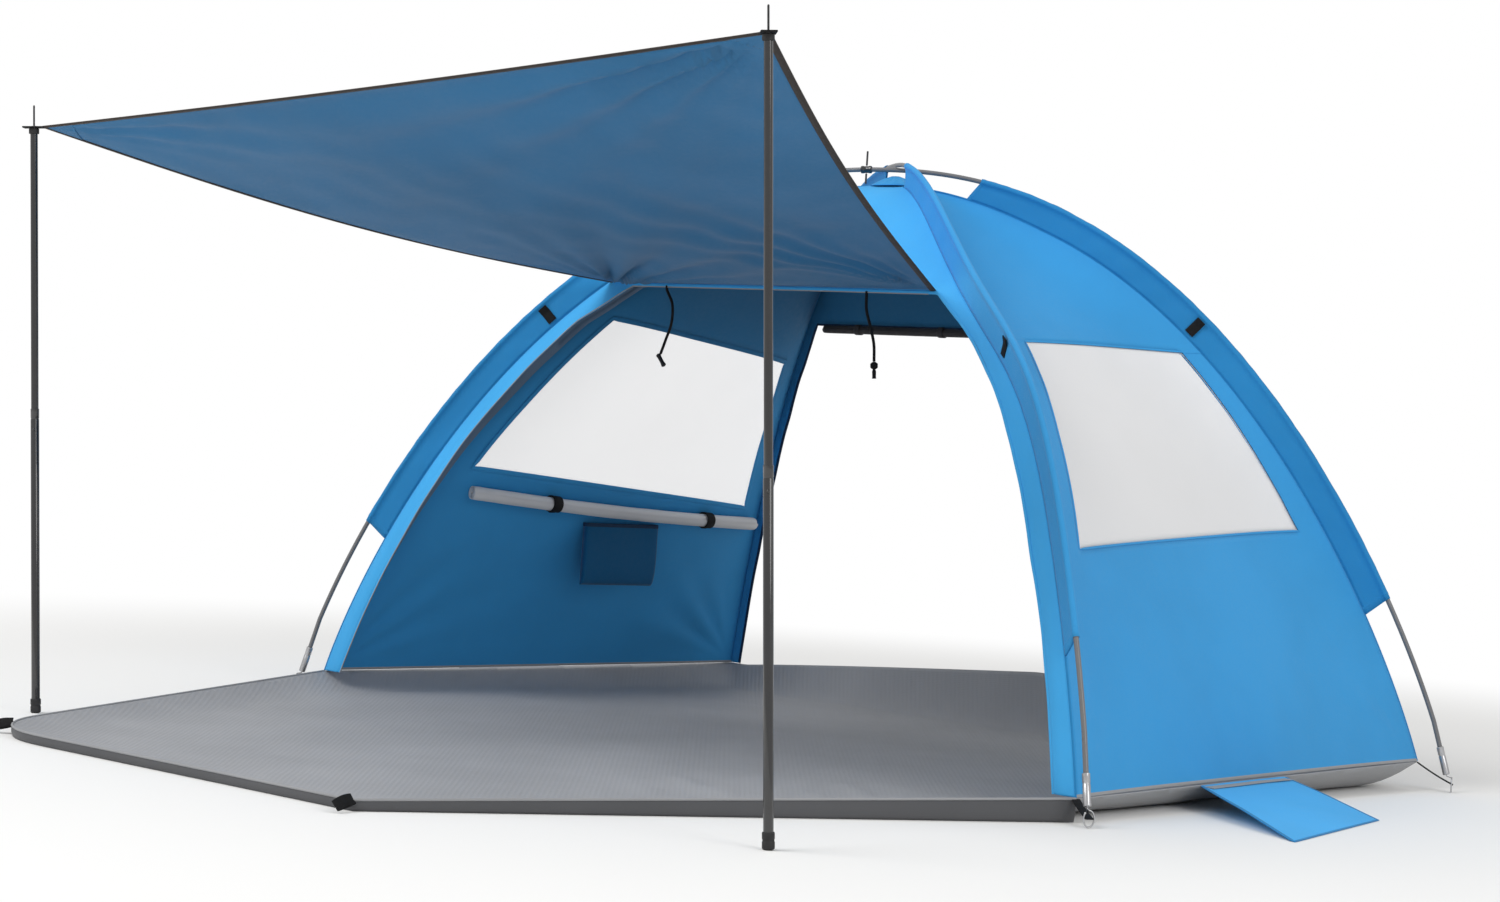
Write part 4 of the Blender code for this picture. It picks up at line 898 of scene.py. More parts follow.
def make_panel(end):
    jamb_columns, middle_columns, upper_rows, corner_rows, lower_rows = 8, 70, 40, 8, 70
    eave, drop = EAVES[end], CORNER_DROPS[end]
    shares, jambs = [], []
    for side in ("left", "right"):
        corner = share_at_height(end, side, eave - drop)
        near = np.linspace(share_at_height(end, side, eave), corner, corner_rows + 1)[:-1] if drop else []
        share = np.concatenate([near, eased(corner, HEMS[end], lower_rows, 1.5)])
        span = seam(end, "right", share)[:, 0] - seam(end, "left", share)[:, 0]
        shares.append(share)
        jambs.append(doorway_width(end, side, share) / span)
    count = len(share)
    down = eased(0.0, 1.0, upper_rows)[:-1]
    jambs = np.stack(jambs)
    left, right = np.concatenate([jambs[:, :1] * (0.45 + 0.55 * down), jambs], axis=1)[..., None]
    step = even(jamb_columns + 1)
    middle = even(middle_columns + 1)[1:-1]
    across = np.concatenate([left * step, left + (1.0 - left - right) * middle, 1.0 - right * step[::-1]],
                            axis=1)
    level = panel_share(end, across[upper_rows], eave)
    upper = BODY_TOP + (level[None] - BODY_TOP) * down[:, None]
    half = across.shape[1] // 2
    lower = np.concatenate([np.repeat(shares[0][1:, None], half, axis=1),
                            np.repeat(shares[1][1:, None], across.shape[1] - half, axis=1)], axis=1)
    share = np.concatenate([upper, level[None], lower])
    spots = between(seam(end, "left", share), seam(end, "right", share), across)
    outward = -1.0 if end == "front" else 1.0
    spots[..., 1] += outward * panel_fold(end, across, spots)
    doorway = np.concatenate([spots[upper_rows:, jamb_columns][::-1],
                              spots[upper_rows, jamb_columns + 1:-jamb_columns - 1],
                              spots[upper_rows:, -jamb_columns - 1]])
    keep = np.ones((len(share) - 1, across.shape[1] - 1), bool)
    keep[upper_rows:, jamb_columns:-jamb_columns] = False
    turn = -1 if end == "front" else 1
    made = grid(f"{end}_panel_cloth", spots[:, ::turn], ("panel", "inside"), keep=keep[:, ::turn],
                slot="sky_fabric", node=f"{end}_panel")

    facing = (0.0, outward, 0.1)
    if end == "front":
        hem = sweep("doorway_hem_front", doorway, tape(0.0070, 0.0026), "panel", facing, "sky_fabric")
        number = np.arange(count + middle_columns - 2)[:, None]
        line = doorway[:len(number)] + (0.0, outward * 0.0008, 0.0)
        line = line + (number < count) * (0.0030, 0.0, 0.0) - (number >= count - 1) * (0.0, 0.0, 0.0030)
        piping = sweep("doorway_piping_front", line, ring(0.0014, 8), "trim", slot="pale_mesh")
        depth = 0.004 + 0.040 * smooth(doorway[:, 2:], 0.25, 1.0)
        inward = -unit(doorway * (1.0, 0.0, 1.0) - (0.0, 0.0, 0.45))
        middle = doorway - depth * (0.0, outward / 2.0, 0.0)
        band = sweep("doorway_band_front", middle, tape(1.0, 1.0) * (1.0, BAND), "band", inward,
                     "shade_fabric", scale=np.concatenate([depth, np.ones_like(depth)], axis=1))
        pieces = [hem, piping, band]
    else:
        pieces = [sweep("doorway_hem_rear", doorway, tape(0.0090, 0.0030), "navy", facing, "dark_fabric")]


# Crown


def make_crown():
    base = max(seam(end, side, BODY_TOP)[2] for end in ENDS for side in SIDES) + 0.0005
    angle = np.linspace(0.0, 2.0 * math.pi, 64, endpoint=False)[None]
    t = even(14)[:, None]
    cos, sin = np.cos(angle), np.sin(angle)
    square = (np.abs(cos) ** PATCH_SQUARE + np.abs(sin) ** PATCH_SQUARE) ** (-1.0 / PATCH_SQUARE)
    reach = square * (1.0 + (PATCH_TOP - 1.0) * t)
    crease = 0.0012 * np.cos(angle * 12.0) * t * (1.0 - t) * 4.0
    spots = np.stack([cos * PATCH_HALVES[0] * reach, sin * PATCH_HALVES[1] * reach + CROWN[1],
                      base + PATCH_RISE * t ** 0.8 + crease], axis=2)
    made = grid("crown_peak_cloth", spots, ("sky", "inside"), 0.0014, wrap=True, slot="sky_fabric",
                node="crown_patch")

    place = arch("front", "left", CLIP_SHARE)
    along = unit(arch("front", "left", CLIP_SHARE * 2.0) - arch("front", "left", 0.0))
    half, ease = CLIP_LENGTH / 2.0, 0.0012
    profile = mirrored([(POLE_RADIUS + 0.0010, half), (CLIP_RADIUS - ease, half), (CLIP_RADIUS, half - ease),
                        (CLIP_RADIUS, 0.006), (CLIP_RADIUS - 0.0008, 0.005)])
    turned("crown_clip_body", profile, "steel", place, along, slot="dark_steel", node="crown_clip")
    for name, node, low, high in CLIP_PINS:
        radius, ease, half = CLIP_PIN_RADIUS, CLIP_PIN_RADIUS * 0.5, (high - low) / 2.0
        profile = mirrored([(0.0, half), (radius - ease, half), (radius, half - ease)], False)
        turned(name, profile, "steel", place + UP * (low + half), UP, 20, "dark_steel", node)


# Poles, ferrules, rings, corner webbing


def make_arches():
    share = np.concatenate([np.linspace(0.02, 0.9, 90), np.linspace(0.905, TAIL, 10)])
    for name, front, rear in zip(POLES, ("left", "right"), ("right", "left")):
        lift = over("front", front)
        first, last = (np.concatenate([arch(end, side, share, lift), [tail(end, side, TIP_LIFT)]])
                       for end, side in (("front", front), ("rear", rear)))
        path = np.concatenate([first[::-1], [CROWN + UP * (CROWN_HEIGHT + lift)], last])
        sweep(f"{name}_rod", path, ring(POLE_RADIUS, 20), "fibre", slot="grey_fibreglass", node=name)


def make_foot(end, side):
    key = f"{end}_{side}"
    along = unit(tail(end, side, 1.0) - tail(end, side, 0.0))
    ease, radius, bore, pin_bore = 0.0010, FERRULE_RADIUS, POLE_RADIUS + 0.0002, WIRE_RADIUS + 0.0002
    shoulder = FERRULE_LENGTH - FERRULE_SOCKET
    profile = [(bore, FERRULE_LENGTH), (radius - ease, FERRULE_LENGTH), (radius, FERRULE_LENGTH - ease),
               *groove(radius, 0.046, 0.042, 0.0006), (radius, ease), (radius - ease, 0.0), (pin_bore, 0.0),
               (pin_bore, shoulder), (bore, shoulder), (bore, FERRULE_LENGTH)]
    turned(f"ferrule_sleeve_{key}", profile, "bright", tail(end, side, TIP_LIFT - shoulder), along, 32,
           "bright_steel", f"ferrule_{key}")

    centre = foot(end, side) + UP * (RING_HALF_HEIGHT + WIRE_RADIUS + FIT_GAP)
    level = unit(along * (1.0, 1.0, 0.0))
    across = np.array((-level[1], level[0], 0.0))
    angles = np.radians(np.linspace(RING_OPENING, 360.0, 40))[:, None]
    path = centre + across * RING_HALF_WIDTH * np.sin(angles) + UP * RING_HALF_HEIGHT * np.cos(angles)
    top = (path[-1][2] + WIRE_RADIUS) / along[2]
    stem = [tail(end, side, top + extra) for extra in np.linspace(WIRE_RADIUS, PIN_LENGTH / 2.0, 6)]
    sweep(f"ground_ring_wire_{key}", np.concatenate([path, stem]), ring(WIRE_RADIUS, 12), "bright", level,
          "bright_steel", f"ground_ring_{key}")

    corner = seam(end, side, HEMS[end])
    towards = unit((centre - corner) * (1.0, 1.0, 0.0))
    start = corner + towards * (0.0010 if end == "front" else 0.0005)
    start[2] = corner[2] - FLOOR_SEAT - FLOOR_THICKNESS / 2.0
    t = even(14)[:, None]
    path = start + (centre + towards * WIRE_RADIUS * 2.0 - start) * t - UP * 0.0022 * np.sin(math.pi * t)
    sweep(f"corner_webbing_band_{key}", path, tape(*CORNER_STRAP), "webbing", slot="black_webbing",
          node=f"corner_webbing_{key}")


# Rolled covers, straps, pocket and rear door


def cover_point(side, across):
    across = np.asarray(across, float)
    front_share, rear_share = COVER_SHARES[side]
    spot = wall(side, across, front_share + (rear_share - front_share) * across)
    spot[..., 0] -= sign(side) * (COVER_RADIUS + COVER_CLEARANCE)
    spot[..., 2] -= COVER_DROOP * np.sin(math.pi * across)
    return spot


def make_roll(name, path, radius, material, slot, node, seed):
    """Cloth rolled up along a path: out along a spiral and back, a little uneven along its length."""
    outer, inner, thickness, steps = radius * 0.985, radius * 0.22, radius * 0.09, 24 * ROLL_TURNS
    angle = np.linspace(0.0, ROLL_TURNS * 2.0 * math.pi, steps)
    way = np.stack([np.cos(angle), np.sin(angle)], axis=1)
    reach = np.linspace(inner, outer, steps)[:, None]
    section = np.concatenate([way * reach, (way * (reach - thickness))[::-1]])
    length = np.linspace(0.0, 1.0, len(path))
    size = 1.0 + 0.018 * ripple(length * 1.1, length * 0.0, 0.16, seed)
    size[0] = size[-1] = 0.97
    return sweep(name, path, section, material, UP, slot, node, scale=size)


def strap_ring(name, inner, half, thickness, ease, material, place, along, steps):
    """A strap wound round a roll."""
    profile = mirrored([(inner, half), (inner + thickness - 0.0004, half), (inner + thickness, half - ease)])
    return turned(name, profile, material, place, along, steps)


def make_cover(side):
    path = cover_point(side, np.linspace(*COVER_SPAN, 90))
    made = make_roll(f"window_cover_roll_{side}", path, COVER_RADIUS,
                     "grey", "grey_fabric", f"window_cover_{side}", 71 + SIDES.index(side))
    for name, share in zip(ENDS, STRAP_SHARES):
        spot = cover_point(side, share)
        along = unit(cover_point(side, share + 0.05) - cover_point(side, share - 0.05))
        inner = COVER_RADIUS + 0.0006
        band = strap_ring(f"cover_band_{side}_{name}", inner, 0.015, 0.0014, 0.0006, "webbing", spot,
                          along, 48)
        flank = unit(np.cross(along, UP))
        flank = flank * -np.sign(flank[0])
        angles = np.radians(np.linspace(-20.0, 75.0, 12))[:, None]
        way = flank * np.cos(angles) - UP * np.sin(angles)
        flap = sweep(f"cover_end_{side}_{name}", spot + way * (inner + 0.0030), tape(0.020, 0.0016), "webbing",
                     unit(way))
        own(joined(f"cover_strap_band_{side}_{name}", [band, flap]), "black_webbing",
                          f"cover_strap_{side}_{name}")


def make_pocket():
    first, second = (wall("left", np.array(share), np.array(POCKET_TOP)) for share in POCKET_SHARES)
    along = unit((second - first) * (1.0, 1.0, 0.0))
    width = np.linalg.norm(second - first)
    inside = np.array((along[1], -along[0], 0.0))
    centre = (first + second) / 2.0 + inside * 0.0032
    t = even(46)[None]
    down = even(26)[:, None]
    edge = np.clip(np.minimum(t, 1.0 - t) / POCKET_CORNER, 0.0, 1.0)
    out = (1.0 - (1.0 - edge) ** 2.6) ** (1.0 / 2.6)
    place = np.clip((t - POCKET_CORNER * 0.5) / (1.0 - POCKET_CORNER), 0.0, 1.0) - 0.5
    depth = np.maximum(POCKET_DEPTH * (1.0 - down ** 5) ** 0.5 * 0.94, 0.0012)
    sag = 0.003 * ripple(t * width, down * POCKET_HEIGHT, 0.12, 81) * np.sin(math.pi * t) * (1.0 - 0.4 * down)
    bulge = out * (depth + sag)
    spots = (centre + along * (place * width * 0.985)[..., None] + inside * bulge[..., None]
             - UP * (down * POCKET_HEIGHT + 0.0 * t)[..., None])
    made = grid("pocket_cloth", spots, ("pocket", "pocket"), 0.0014, slot="shade_fabric", node="pocket")
    path = spots[0] + UP * 0.0005
    hem = sweep("pocket_hem", path, tape(0.010, 0.0026), "navy", unit(np.cross(np.gradient(path, axis=0), UP)),
                "shade_fabric")


def make_door_roll():
    edge = seam("rear", "right", share_at_height("rear", "right", EAVES["rear"]))
    reach = edge[0] - JAMBS["rear"] - DOOR_ROLL_INSET
    centre = np.array((0.0, edge[1], EAVES["rear"] - DOOR_ROLL_RADIUS - FIT_GAP))
    along = np.array((1.0, 0.0, 0.0))
    path = centre + along * np.linspace(-reach, reach, 110)[:, None]
    made = make_roll("rear_door_cloth", path, DOOR_ROLL_RADIUS, "dark", "dark_fabric", "rear_door_roll", 91)
    ties = [strap_ring(f"door_tie_{number}", DOOR_ROLL_RADIUS + 0.0002, 0.009, 0.0016, 0.0005, "dark",
                       centre + along * place * reach, along, 36)
            for number, place in enumerate(np.linspace(-0.78, 0.78, 4))]
    ties = own(joined("rear_door_ties", ties), "black_webbing")


# Floor


def floor_edge():
    """The floor's outline, anticlockwise: its edge's places, and the number of the porch's first."""
    hems = [seam(end, side, HEMS[end]) - UP * (FLOOR_SEAT + FLOOR_THICKNESS) for end, side in
            (("front", "right"), ("rear", "right"), ("rear", "left"), ("front", "left"))]
    left, right = (np.array((*place, PORCH_LIFT)) for place in (PORCH_LEFT, PORCH_RIGHT))
    t = even(13)[:, None]
    rounded = left + PORCH_ROUND * (unit(hems[3] - left) * (1.0 - t) ** 2 + unit(right - left) * t ** 2)
    corners = [*hems, *rounded, right]
    points = []
    for index, start in enumerate(corners):
        run = corners[(index + 1) % len(corners)] - start
        if index == 3:
            porch = len(points)
        t = np.linspace(0.0, 1.0, max(1, int(np.linalg.norm(run) / 0.03)), endpoint=False)[:, None]
        spots = start + run * t
        if index == 1:
            inner = np.maximum(0.0, 1.0 - np.abs(2.0 * t - 1.0) / (1.0 - 2.0 * SILL_START))
            spots = spots + UP * SILL_RISE * inner ** 0.9
        points.extend(spots)
    return np.array(points), porch


def floor_height(x, y, edge):
    """Height of the floor: its edges rise, its middle lies on the ground in flat wrinkles."""
    best = np.full(x.shape, 9.0)
    rise = np.zeros(x.shape)
    for start, end in zip(edge, np.roll(edge, -1, axis=0)):
        run = end - start
        t = np.clip(((x - start[0]) * run[0] + (y - start[1]) * run[1]) / (run[:2] @ run[:2]), 0.0, 1.0)
        distance = np.hypot(x - start[0] - run[0] * t, y - start[1] - run[1] * t)
        nearer = distance < best
        best = np.where(nearer, distance, best)
        rise = np.where(nearer, start[2] + run[2] * t, rise)
    wave = 0.0014 * (1.0 + ripple(x, y, 0.55, 201)) + 0.0006 * ripple(x, y, 0.16, 202)
    along, across = (x + y) / math.sqrt(2.0), (x - y) / math.sqrt(2.0)
    folds = ripple(across * 0.25, along, 0.075, 203, 5) * smooth(-np.hypot(x - 0.75, y + 0.95), -0.45, -0.1)
    rays = fan(x, y, (-1.24, -0.66), -62.0, 16.0, 2.6, 0.30, 0.60, 204)
    wrinkles = smooth(best, 0.0, 0.12) * (wave + 0.0050 * folds + 0.0030 * rays)
    return np.maximum(rise * (1.0 - np.clip(best / FLOOR_BAND, 0.0, 1.0)) ** 2 + wrinkles, 0.0) + FLOOR_LIFT


def make_floor():
    edge, porch = floor_edge()
    low, high = edge.min(axis=0) - 0.01, edge.max(axis=0) + 0.01
    x, y = np.meshgrid(*(np.arange(low[axis], high[axis] + FLOOR_STEP, FLOOR_STEP) for axis in (0, 1)))
    spots = np.stack([x, y, 0.0 * x], axis=2)
    made = grid("floor_cloth", spots, ("floor",), 0.0, uvs=spots[..., :2])
    cage = bmesh.new()
    cage.from_mesh(made.data)
    for start, end in zip(edge, np.roll(edge, -1, axis=0)):
        run = unit(end[:2] - start[:2])
        bmesh.ops.bisect_plane(cage, geom=cage.verts[:] + cage.edges[:] + cage.faces[:], dist=1e-6,
                               plane_co=(start[0], start[1], 0.0), plane_no=(run[1], -run[0], 0.0),
                               clear_outer=True)
    cage.to_mesh(made.data)
    cage.free()
    spots = np.zeros(len(made.data.vertices) * 3)
    made.data.vertices.foreach_get("co", spots)
    spots = spots.reshape(-1, 3)
    spots[:, 2] = floor_height(spots[:, 0], spots[:, 1], edge)
    made.data.vertices.foreach_set("co", spots.ravel())
    made.data.update()
    made.data.materials.append(MATERIALS["under"])
    thicken(made, 0.0022)
    own(made, "grey_fabric", "floor")

    top = np.concatenate([edge[porch:], edge[:1]]) + UP * FLOOR_LIFT
    outward = unit((top - edge.mean(axis=0)) * (1.0, 1.0, 0.0))
    binding = sweep("floor_binding", top + UP * 0.0006 + outward * 0.0006, ring(0.0026, 10), "trim",
                    slot="grey_fabric")
    # Painted shadow: a dark band hung from the porch floor's raised edge down to the ground, standing for the
    # shade beneath the edge.
    t = even(7)[:, None, None]
    foot_edge = top * (1.0, 1.0, 0.0) + UP * 0.0012 - outward * 0.002
    spots = top * (1.0 - t) + foot_edge * t + outward * (0.0022 * np.sin(math.pi * t))
    painted_shadow_band = grid("floor_edge_painted_shadow", spots, ("painted_shadow_band",), slot="grey_fabric")

    for side, turn in LOOP_TURNS:
        outward = np.array((math.sin(math.radians(turn)), -math.cos(math.radians(turn)), 0.0))
        start = edge[np.argmax(edge @ outward)] + outward * 0.0004 + UP * FLOOR_THICKNESS / 2.0
        end = start + outward * LOOP_LENGTH
        end[2] = 0.0100
        t = even(10)[:, None]
        bow = UP * np.sin(math.pi * t)
        path = np.concatenate([start + (end - start) * t + bow * 0.0030, [end + outward * 0.002],
                               start + (end - start) * t[::-1] - bow * 0.0009])
        facing = unit(UP * 0.62 + unit(np.cross(UP, outward)) * 0.78)
        sweep(f"peg_loop_band_{side}", path + UP * LOOP_LIFT, tape(LOOP_WIDTH, 0.0026), "webbing", facing,
              "black_webbing", f"peg_loop_{side}")


def make_flap(side):
    front, rear = (seam(end, side, HEMS[end]) for end in ENDS)
    outward = np.array((sign(side), 0.0, 0.0))
    drop = UP * (FLOOR_SEAT + FLOOR_THICKNESS / 2.0)
    root = [front + (rear - front) * share + outward * 0.0007 - drop for share in FLAP_SHARES]
    tips = [(start + outward * length) * (1.0, 1.0, 0.0) - (0.0, FLAP_SKEW + flare, -FLAP_SEAT)
            for start, length, flare in zip(root, FLAP_LENGTHS, (FLAP_FLARE, -FLAP_FLARE))]
    across = even(44)[None, :, None]
    down = even(50)[:, None, None]
    top = root[0] + (root[1] - root[0]) * across
    spots = top + (tips[0] + (tips[1] - tips[0]) * across - top) * down
    wave = 0.0014 * (1.0 + ripple(spots[..., 0], spots[..., 1], 0.22, 301 + SIDES.index(side)))
    spots[..., 2] += wave * np.sin(math.pi * down[..., 0]) + 0.0006 * np.sin(math.pi * across[..., 0])
    if side == "left":
        spots = spots[:, ::-1]
    body = f"{side}_sand_flap"
    made = grid(f"sand_flap_cloth_{side}", spots[:, ::-1], ("flap", "flap"), 0.0013, slot="sky_fabric",
                node=f"sand_flap_{side}", body=body)
    loop = np.concatenate([spots[1:, 0], spots[-1, 1:], spots[-2:0:-1, -1]])
    hem = sweep(f"sand_flap_hem_{side}", loop, tape(0.008, 0.0021), "sleeve", slot="sleeve_fabric", body=body)
    band = sweep(f"sand_flap_root_{side}", spots[3, 1:-1] + UP * 0.0012, tape(0.026, 0.0016), "trim",
                 slot="grey_fabric", body=body)


# Awning and its poles


def awning_top(side):
    return np.array((*AWNING_FEET[side], 0.0)) + AWNING_AXIS * (AWNING_TOPS[side] / AWNING_AXIS[2])


def awning_corner(side):
    """The awning's front corner, and the way from its pole's top to the tent."""
    top = awning_top(side)
    target = (awning_top("right") + awning_top("left")) / 2.0
    target[1] = FEET["front"][1]
    towards = unit((target - top) * (1.0, 1.0, 0.0))
    return top + towards * TOP_TAB_LENGTH / 2.0, towards


def eave_place(across):
    """Where the awning's rear edge lies on the front panel's eave."""
    height = EAVES["front"] + AWNING_RAISE
    left, right = (seam("front", side, share_at_height("front", side, height))[0] * AWNING_REAR[side]
                   for side in ("left", "right"))
    return panel_place("front", left + (right - left) * across, height) - (0.0, AWNING_GAP, 0.0)


def awning_place(across, down):
    places = {"front_left": awning_corner("left")[0], "front_right": awning_corner("right")[0]}
    places["rear_left"], rear_middle, places["rear_right"] = eave_place(np.array((0.0, 0.5, 1.0)))
    front_left, front_right = places["front_left"], places["front_right"]
    a, d = across[..., None], down[..., None]
    rear = eave_place(across)
    spot = rear + (front_left + (front_right - front_left) * a - rear) * d
    width, reach = np.sin(math.pi * across), np.sin(math.pi * down)
    middle = rear_middle + ((front_left + front_right) / 2.0 - rear_middle) * d
    pull = AWNING_BOW * reach * np.abs(2.0 * across - 1.0) ** 3
    spot = spot + unit(middle - spot) * pull[..., None]
    spot[..., 1] += AWNING_BOW * width * down ** 3
    spot[..., 2] -= AWNING_SAG * (width + 1.1 * (1.0 - across) ** 3) * reach
    x, y = spot[..., 0], spot[..., 1]
    mask = smooth(across, 0.0, 0.04) * smooth(1.0 - across, 0.0, 0.04)
    mask = mask * smooth(down, 0.0, 0.03) * smooth(1.0 - down, 0.0, 0.03)
    creases = fans(x, y, AWNING_FANS, places)
    creases = creases + 0.0026 * ripple(x, y, 0.50, 406) + 0.0011 * ripple(x, y, 0.14, 407)
    spot[..., 2] += FOLD_HEIGHT * np.sin(math.pi * across * FOLD_COUNT) * width * reach + creases * mask
    return spot


def make_awning():
    across, down = np.meshgrid(even(121), even(101))
    spots = awning_place(across, down)
    made = grid("awning_cloth", spots[:, ::-1], ("awning_top", "awning_under"), AWNING_CLOTH,
                slot="shade_fabric", node="awning", body=None)
    edges = {"front": spots[-1], "left": spots[:, 0], "right": spots[:, -1]}
    bindings = [sweep(f"awning_binding_{name}", path, tape(0.0150, 0.0044), "brown", slot="dark_fabric",
                      body=None) for name, path in edges.items()]
    rear = sweep("awning_eave_seam", spots[0] + (0.0, -0.0006, 0.0006), tape(0.010, 0.0024), "sky",
                 slot="sky_fabric", body=None)
    patches = []
    s, u = np.meshgrid(even(16), even(14))
    for side in ("left", "right"):
        across = s * PATCH_REACH[0] if side == "left" else 1.0 - s * PATCH_REACH[0]
        patch = awning_place(across, 1.0 - u * PATCH_REACH[1] * (1.0 - s)) - UP * 0.0014
        patches.append(grid(f"awning_corner_patch_{side}", patch, ("awning_under",), 0.0008,
                            slot="dark_fabric", body=None))
    start = eave_place(np.array(0.5)) - (0.0, 0.020, 0.0)
    end = (awning_corner("left")[0] + awning_corner("right")[0]) / 2.0
    for piece in (made, *bindings, rear, *patches):
        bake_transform(piece)


def make_awning_pole(side):
    top, base, axis = awning_top(side), np.array((*AWNING_FEET[side], 0.0)), AWNING_AXIS
    body = f"{side}_pole_top"
    rise = FOOT_RADIUS * math.hypot(axis[0], axis[1]) + FIT_GAP
    radius, ease = FOOT_RADIUS, 0.0018
    boot = [(0.0, FOOT_HEIGHT), (LOWER_RADIUS, FOOT_HEIGHT), (radius - ease * 0.5, FOOT_HEIGHT),
            (radius, FOOT_HEIGHT - ease), *groove(radius, 0.018, 0.013, 0.0008), (radius, ease),
            (radius - ease, 0.0), (0.0, 0.0)]
    turned(f"pole_boot_{side}", boot, "rubber", base + axis * rise, axis, 40, "black_rubber",
           f"pole_foot_{side}")
    bottom = rise + FOOT_SOLE + FIT_GAP
    radius, bore, ease = LOWER_RADIUS, UPPER_RADIUS + 0.0002, 0.0006
    lower = [(bore, TUBE_SPLIT - 0.012), (bore, TUBE_SPLIT), (radius - ease, TUBE_SPLIT),
             (radius, TUBE_SPLIT - ease), *groove(radius, TUBE_SPLIT - 0.020, TUBE_SPLIT - 0.024, 0.0005),
             (radius, bottom), (radius - 0.002, bottom)]
    turned(f"pole_tube_lower_{side}", lower, "steel", base, axis, 48, "dark_steel", f"lower_tube_{side}")
    tube_top = np.linalg.norm(top - base) - CAP_HEIGHT - TOP_TAB - FIT_GAP
    radius, ease, end = UPPER_RADIUS, 0.002, TUBE_SPLIT - TUBE_OVERLAP
    upper = [(radius - ease, tube_top - FIT_GAP), (radius, tube_top - FIT_GAP), (radius, end + ease),
             (radius - ease, end), (0.0, end)]
    turned(f"pole_tube_upper_{side}", upper, "steel", base, axis, 48, "dark_steel", f"upper_tube_{side}", body)
    tip = CAP_HEIGHT + TOP_TAB + SPIKE_LENGTH
    radius, spike, ease, plug = CAP_RADIUS, SPIKE_RADIUS, 0.0012, UPPER_RADIUS - 0.0015
    cap = [(0.0, tip), (spike * 0.6, tip), (spike, tip - spike), (spike, CAP_HEIGHT),
           (radius - ease, CAP_HEIGHT), (radius, CAP_HEIGHT - ease), (radius, ease), (radius - ease, 0.0),
           (plug, 0.0), (plug, -0.03), (0.0, -0.03)]
    turned(f"pole_cap_{side}_body", cap, "rubber", base + axis * tube_top, axis, 40, "black_rubber",
           f"pole_cap_{side}", body)
    out = np.array((0.7071, -0.7071, 0.0))
    button = [(0.0, 0.0024), (0.0022, 0.0020), (0.0030, 0.0008), (0.0030, -0.0020), (0.0, -0.0020)]
    place = base + axis * (TUBE_SPLIT - BUTTON_DROP) + out * LOWER_RADIUS
    turned(f"pole_button_{side}", button, "steel", place, out, 20, "dark_steel")

    _, towards = awning_corner(side)
    level = unit(towards - axis * (towards @ axis))
    centre = top - axis * (TOP_TAB / 2.0)
    half = TOP_TAB_LENGTH / 2.0 - FIT_GAP
    path = centre + level * np.linspace(-half, half, 24)[:, None]
    sweep(f"awning_tab_band_{side}", path, tape(TOP_TAB_WIDTH, TOP_TAB - 2.0 * FIT_GAP), "webbing", axis,
          "black_webbing", f"awning_tab_{side}", body)
    eyelet = mirrored([(0.0024, 0.0028), (0.0032, 0.0034), (0.0054, 0.0030), (0.0062, 0.0022)])
    turned(f"awning_eyelet_{side}", eyelet, "bright", centre, axis, 28, "bright_steel", body=body)


# Toggle cords


def smooth_route(points):
    """A smooth line through the points, which bend evenly from one to the next."""
    spots = [points[0] * 2.0 - points[1], *points, points[-1] * 2.0 - points[-2]]
    route = []
    for before, start, end, after in zip(spots, spots[1:], spots[2:], spots[3:]):
        count = max(1, round(float(np.linalg.norm(end - start)) / CORD_STEP))
        for t in np.arange(count) / count:
            route.append(0.5 * (2.0 * start + (end - before) * t
                                + (2.0 * before - 5.0 * start + 4.0 * end - after) * t ** 2
                                + (3.0 * start - before - 3.0 * end + after) * t ** 3))
    return np.array([*route, spots[-2]])


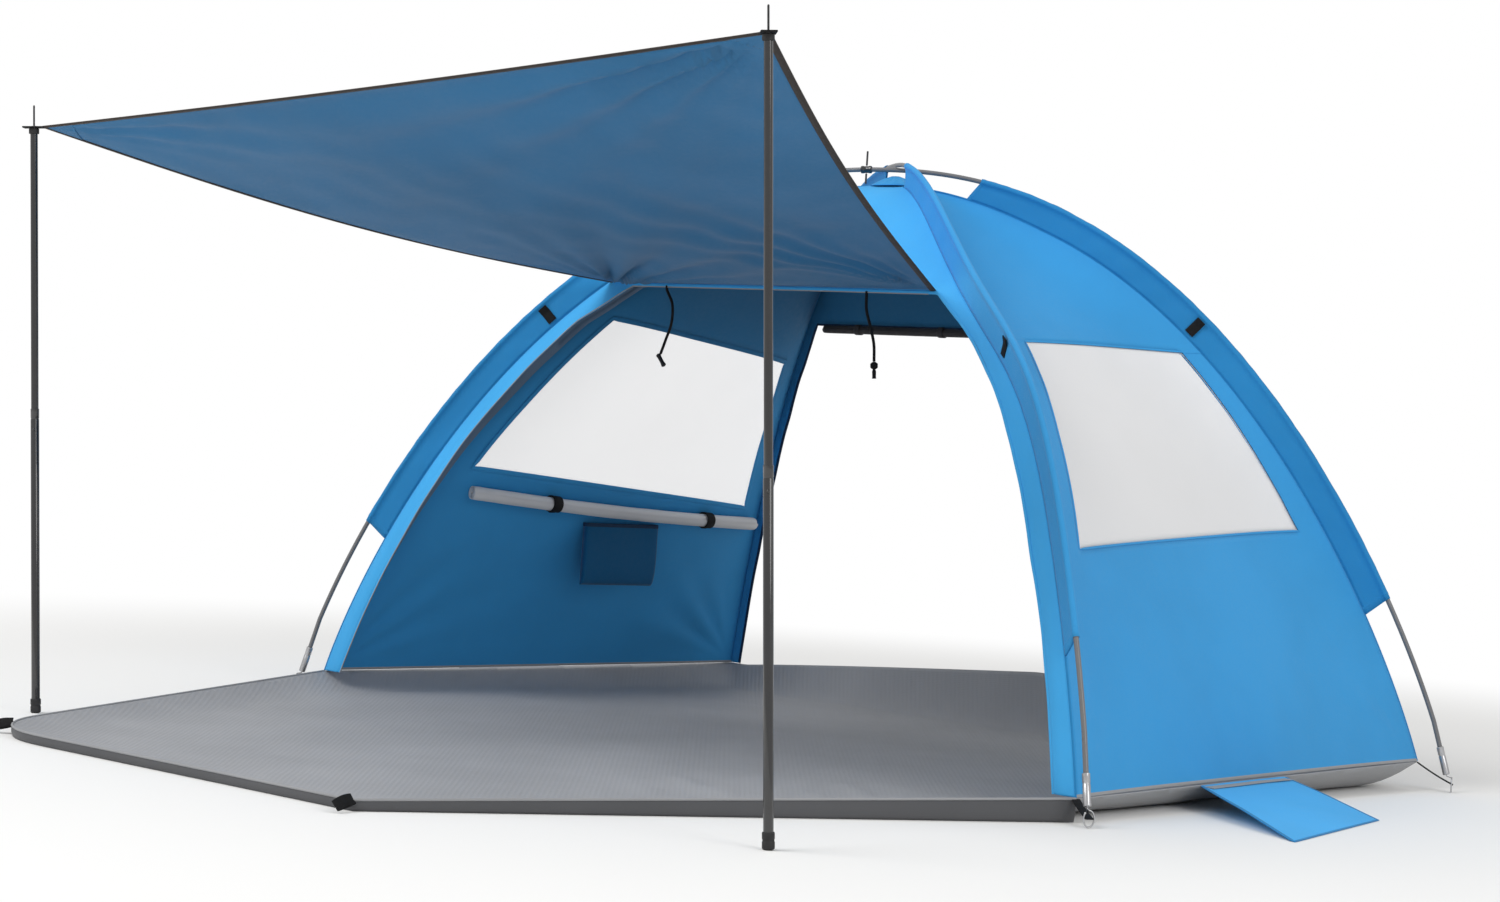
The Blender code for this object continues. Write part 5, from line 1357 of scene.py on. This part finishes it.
def make_toggle_cord(side):
    eave = panel_place("front", np.array(CORD_ROUTES[side][0][0]), EAVES["front"]) * (0.0, 1.0, 0.0)
    path = smooth_route([eave + UP * (EAVES["front"] - FIT_GAP) + point for point in CORD_ROUTES[side]])
    made = sweep(f"toggle_cord_line_{side}", path, ring(CORD_RADIUS, 12), "webbing", (0.0, -1.0, 0.2),
                 "black_webbing", f"toggle_cord_{side}")
    along = unit(path[-1] - path[-2])
    if side == "left":
        turn = unit(along + (1.2, 0.0, 0.0))
        place = path[-1] + along * (TOGGLE_RADIUS * 1.35 + FIT_GAP) + turn * TOGGLE_LENGTH * 0.28
        half, radius, ease = TOGGLE_LENGTH / 2.0, TOGGLE_RADIUS, 0.0016
        profile = mirrored([(0.0, half), (radius - ease, half), (radius, half - ease),
                            (radius * 0.8, half * 0.45)], False)
        end = turned("toggle_bar", profile, "rubber", place, turn, 28, "black_rubber", "toggle")
    else:
        radius = KNOT_RADIUS
        profile = [(0.0, radius)]
        for angle in np.linspace(0.15, math.pi - 0.35, 14):
            out = radius * math.sin(angle) * (1.0 + 0.06 * math.cos(6.0 * angle))
            profile.append((out, radius * math.cos(angle)))
        profile += [(0.0046, -radius - 0.004), (0.0042, -radius - 0.016), (0.0050, -radius - 0.020),
                    (0.0, -radius - 0.0202)]
        end = turned("cord_knot_body", profile, "webbing", path[-1] + along * (radius + FIT_GAP), -along, 28,
                     "black_webbing", "cord_knot")
    float(lengths(path)[-1])


# Stage


def make_stage():
    floor = bpy.data.meshes.new("studio_floor")
    corners = ((-1.0, -1.0), (1.0, -1.0), (1.0, 1.0), (-1.0, 1.0))
    floor.from_pydata([(x * STUDIO_REACH, y * STUDIO_REACH, 0.0) for x, y in corners], [], [(0, 1, 2, 3)])
    ground = link("studio_floor", floor)
    made = Surface("studio_floor")
    made.fill(made.surface, Base_Color=shade((0.93, 0.925, 0.91)), Roughness=0.9, Specular_IOR_Level=0.1)
    reach = made.add("VectorMath", operation="LENGTH", Vector=made.place).outputs["Value"]
    far = made.ramp(reach, *STUDIO_FADE)
    seen = made.maths("MULTIPLY", far, made.add("LightPath").outputs["Is Camera Ray"])
    white = made.add("Emission", Strength=1.0, Color=shade((1.0, 1.0, 1.0)))
    made.show(made.blend(seen, made.surface.outputs[0], white.outputs[0]))
    floor.materials.append(made.owner)

    world = bpy.data.worlds.new("studio")
    bpy.context.scene.world = world
    made = Shader(world)
    soft, white = (made.add("Background", Color=shade((1.0, 1.0, 1.0)), Strength=strength).outputs[0]
                   for strength in (SOFT_LIGHT, 1.0))
    made.show(made.blend(made.add("LightPath").outputs["Is Camera Ray"], soft, white), "World Output")

    for name, place, target, size, power in LAMPS:
        data = bpy.data.lights.new(name, "AREA")
        data.shape = "DISK"
        data.size = size
        data.energy = power
        lamp = link(name, data)
        lamp.location = place
        lamp.rotation_euler = (Vector(target) - Vector(place)).to_track_quat("-Z", "Y").to_euler()
    bpy.context.scene.view_settings.view_transform = "Standard"


make_camera()
for side in SIDES:
    make_toggle_cord(side)
for side in SIDES:
    make_wall(side)
for end in ENDS:
    for side in SIDES:
        make_sleeve(end, side)
        make_foot(end, side)
make_panel("front")
make_panel("rear")
make_crown()
make_arches()
for side in SIDES:
    make_cover(side)
    make_flap(side)
    make_awning_pole(side)
make_pocket()
make_door_roll()
make_floor()
make_awning()
make_stage()
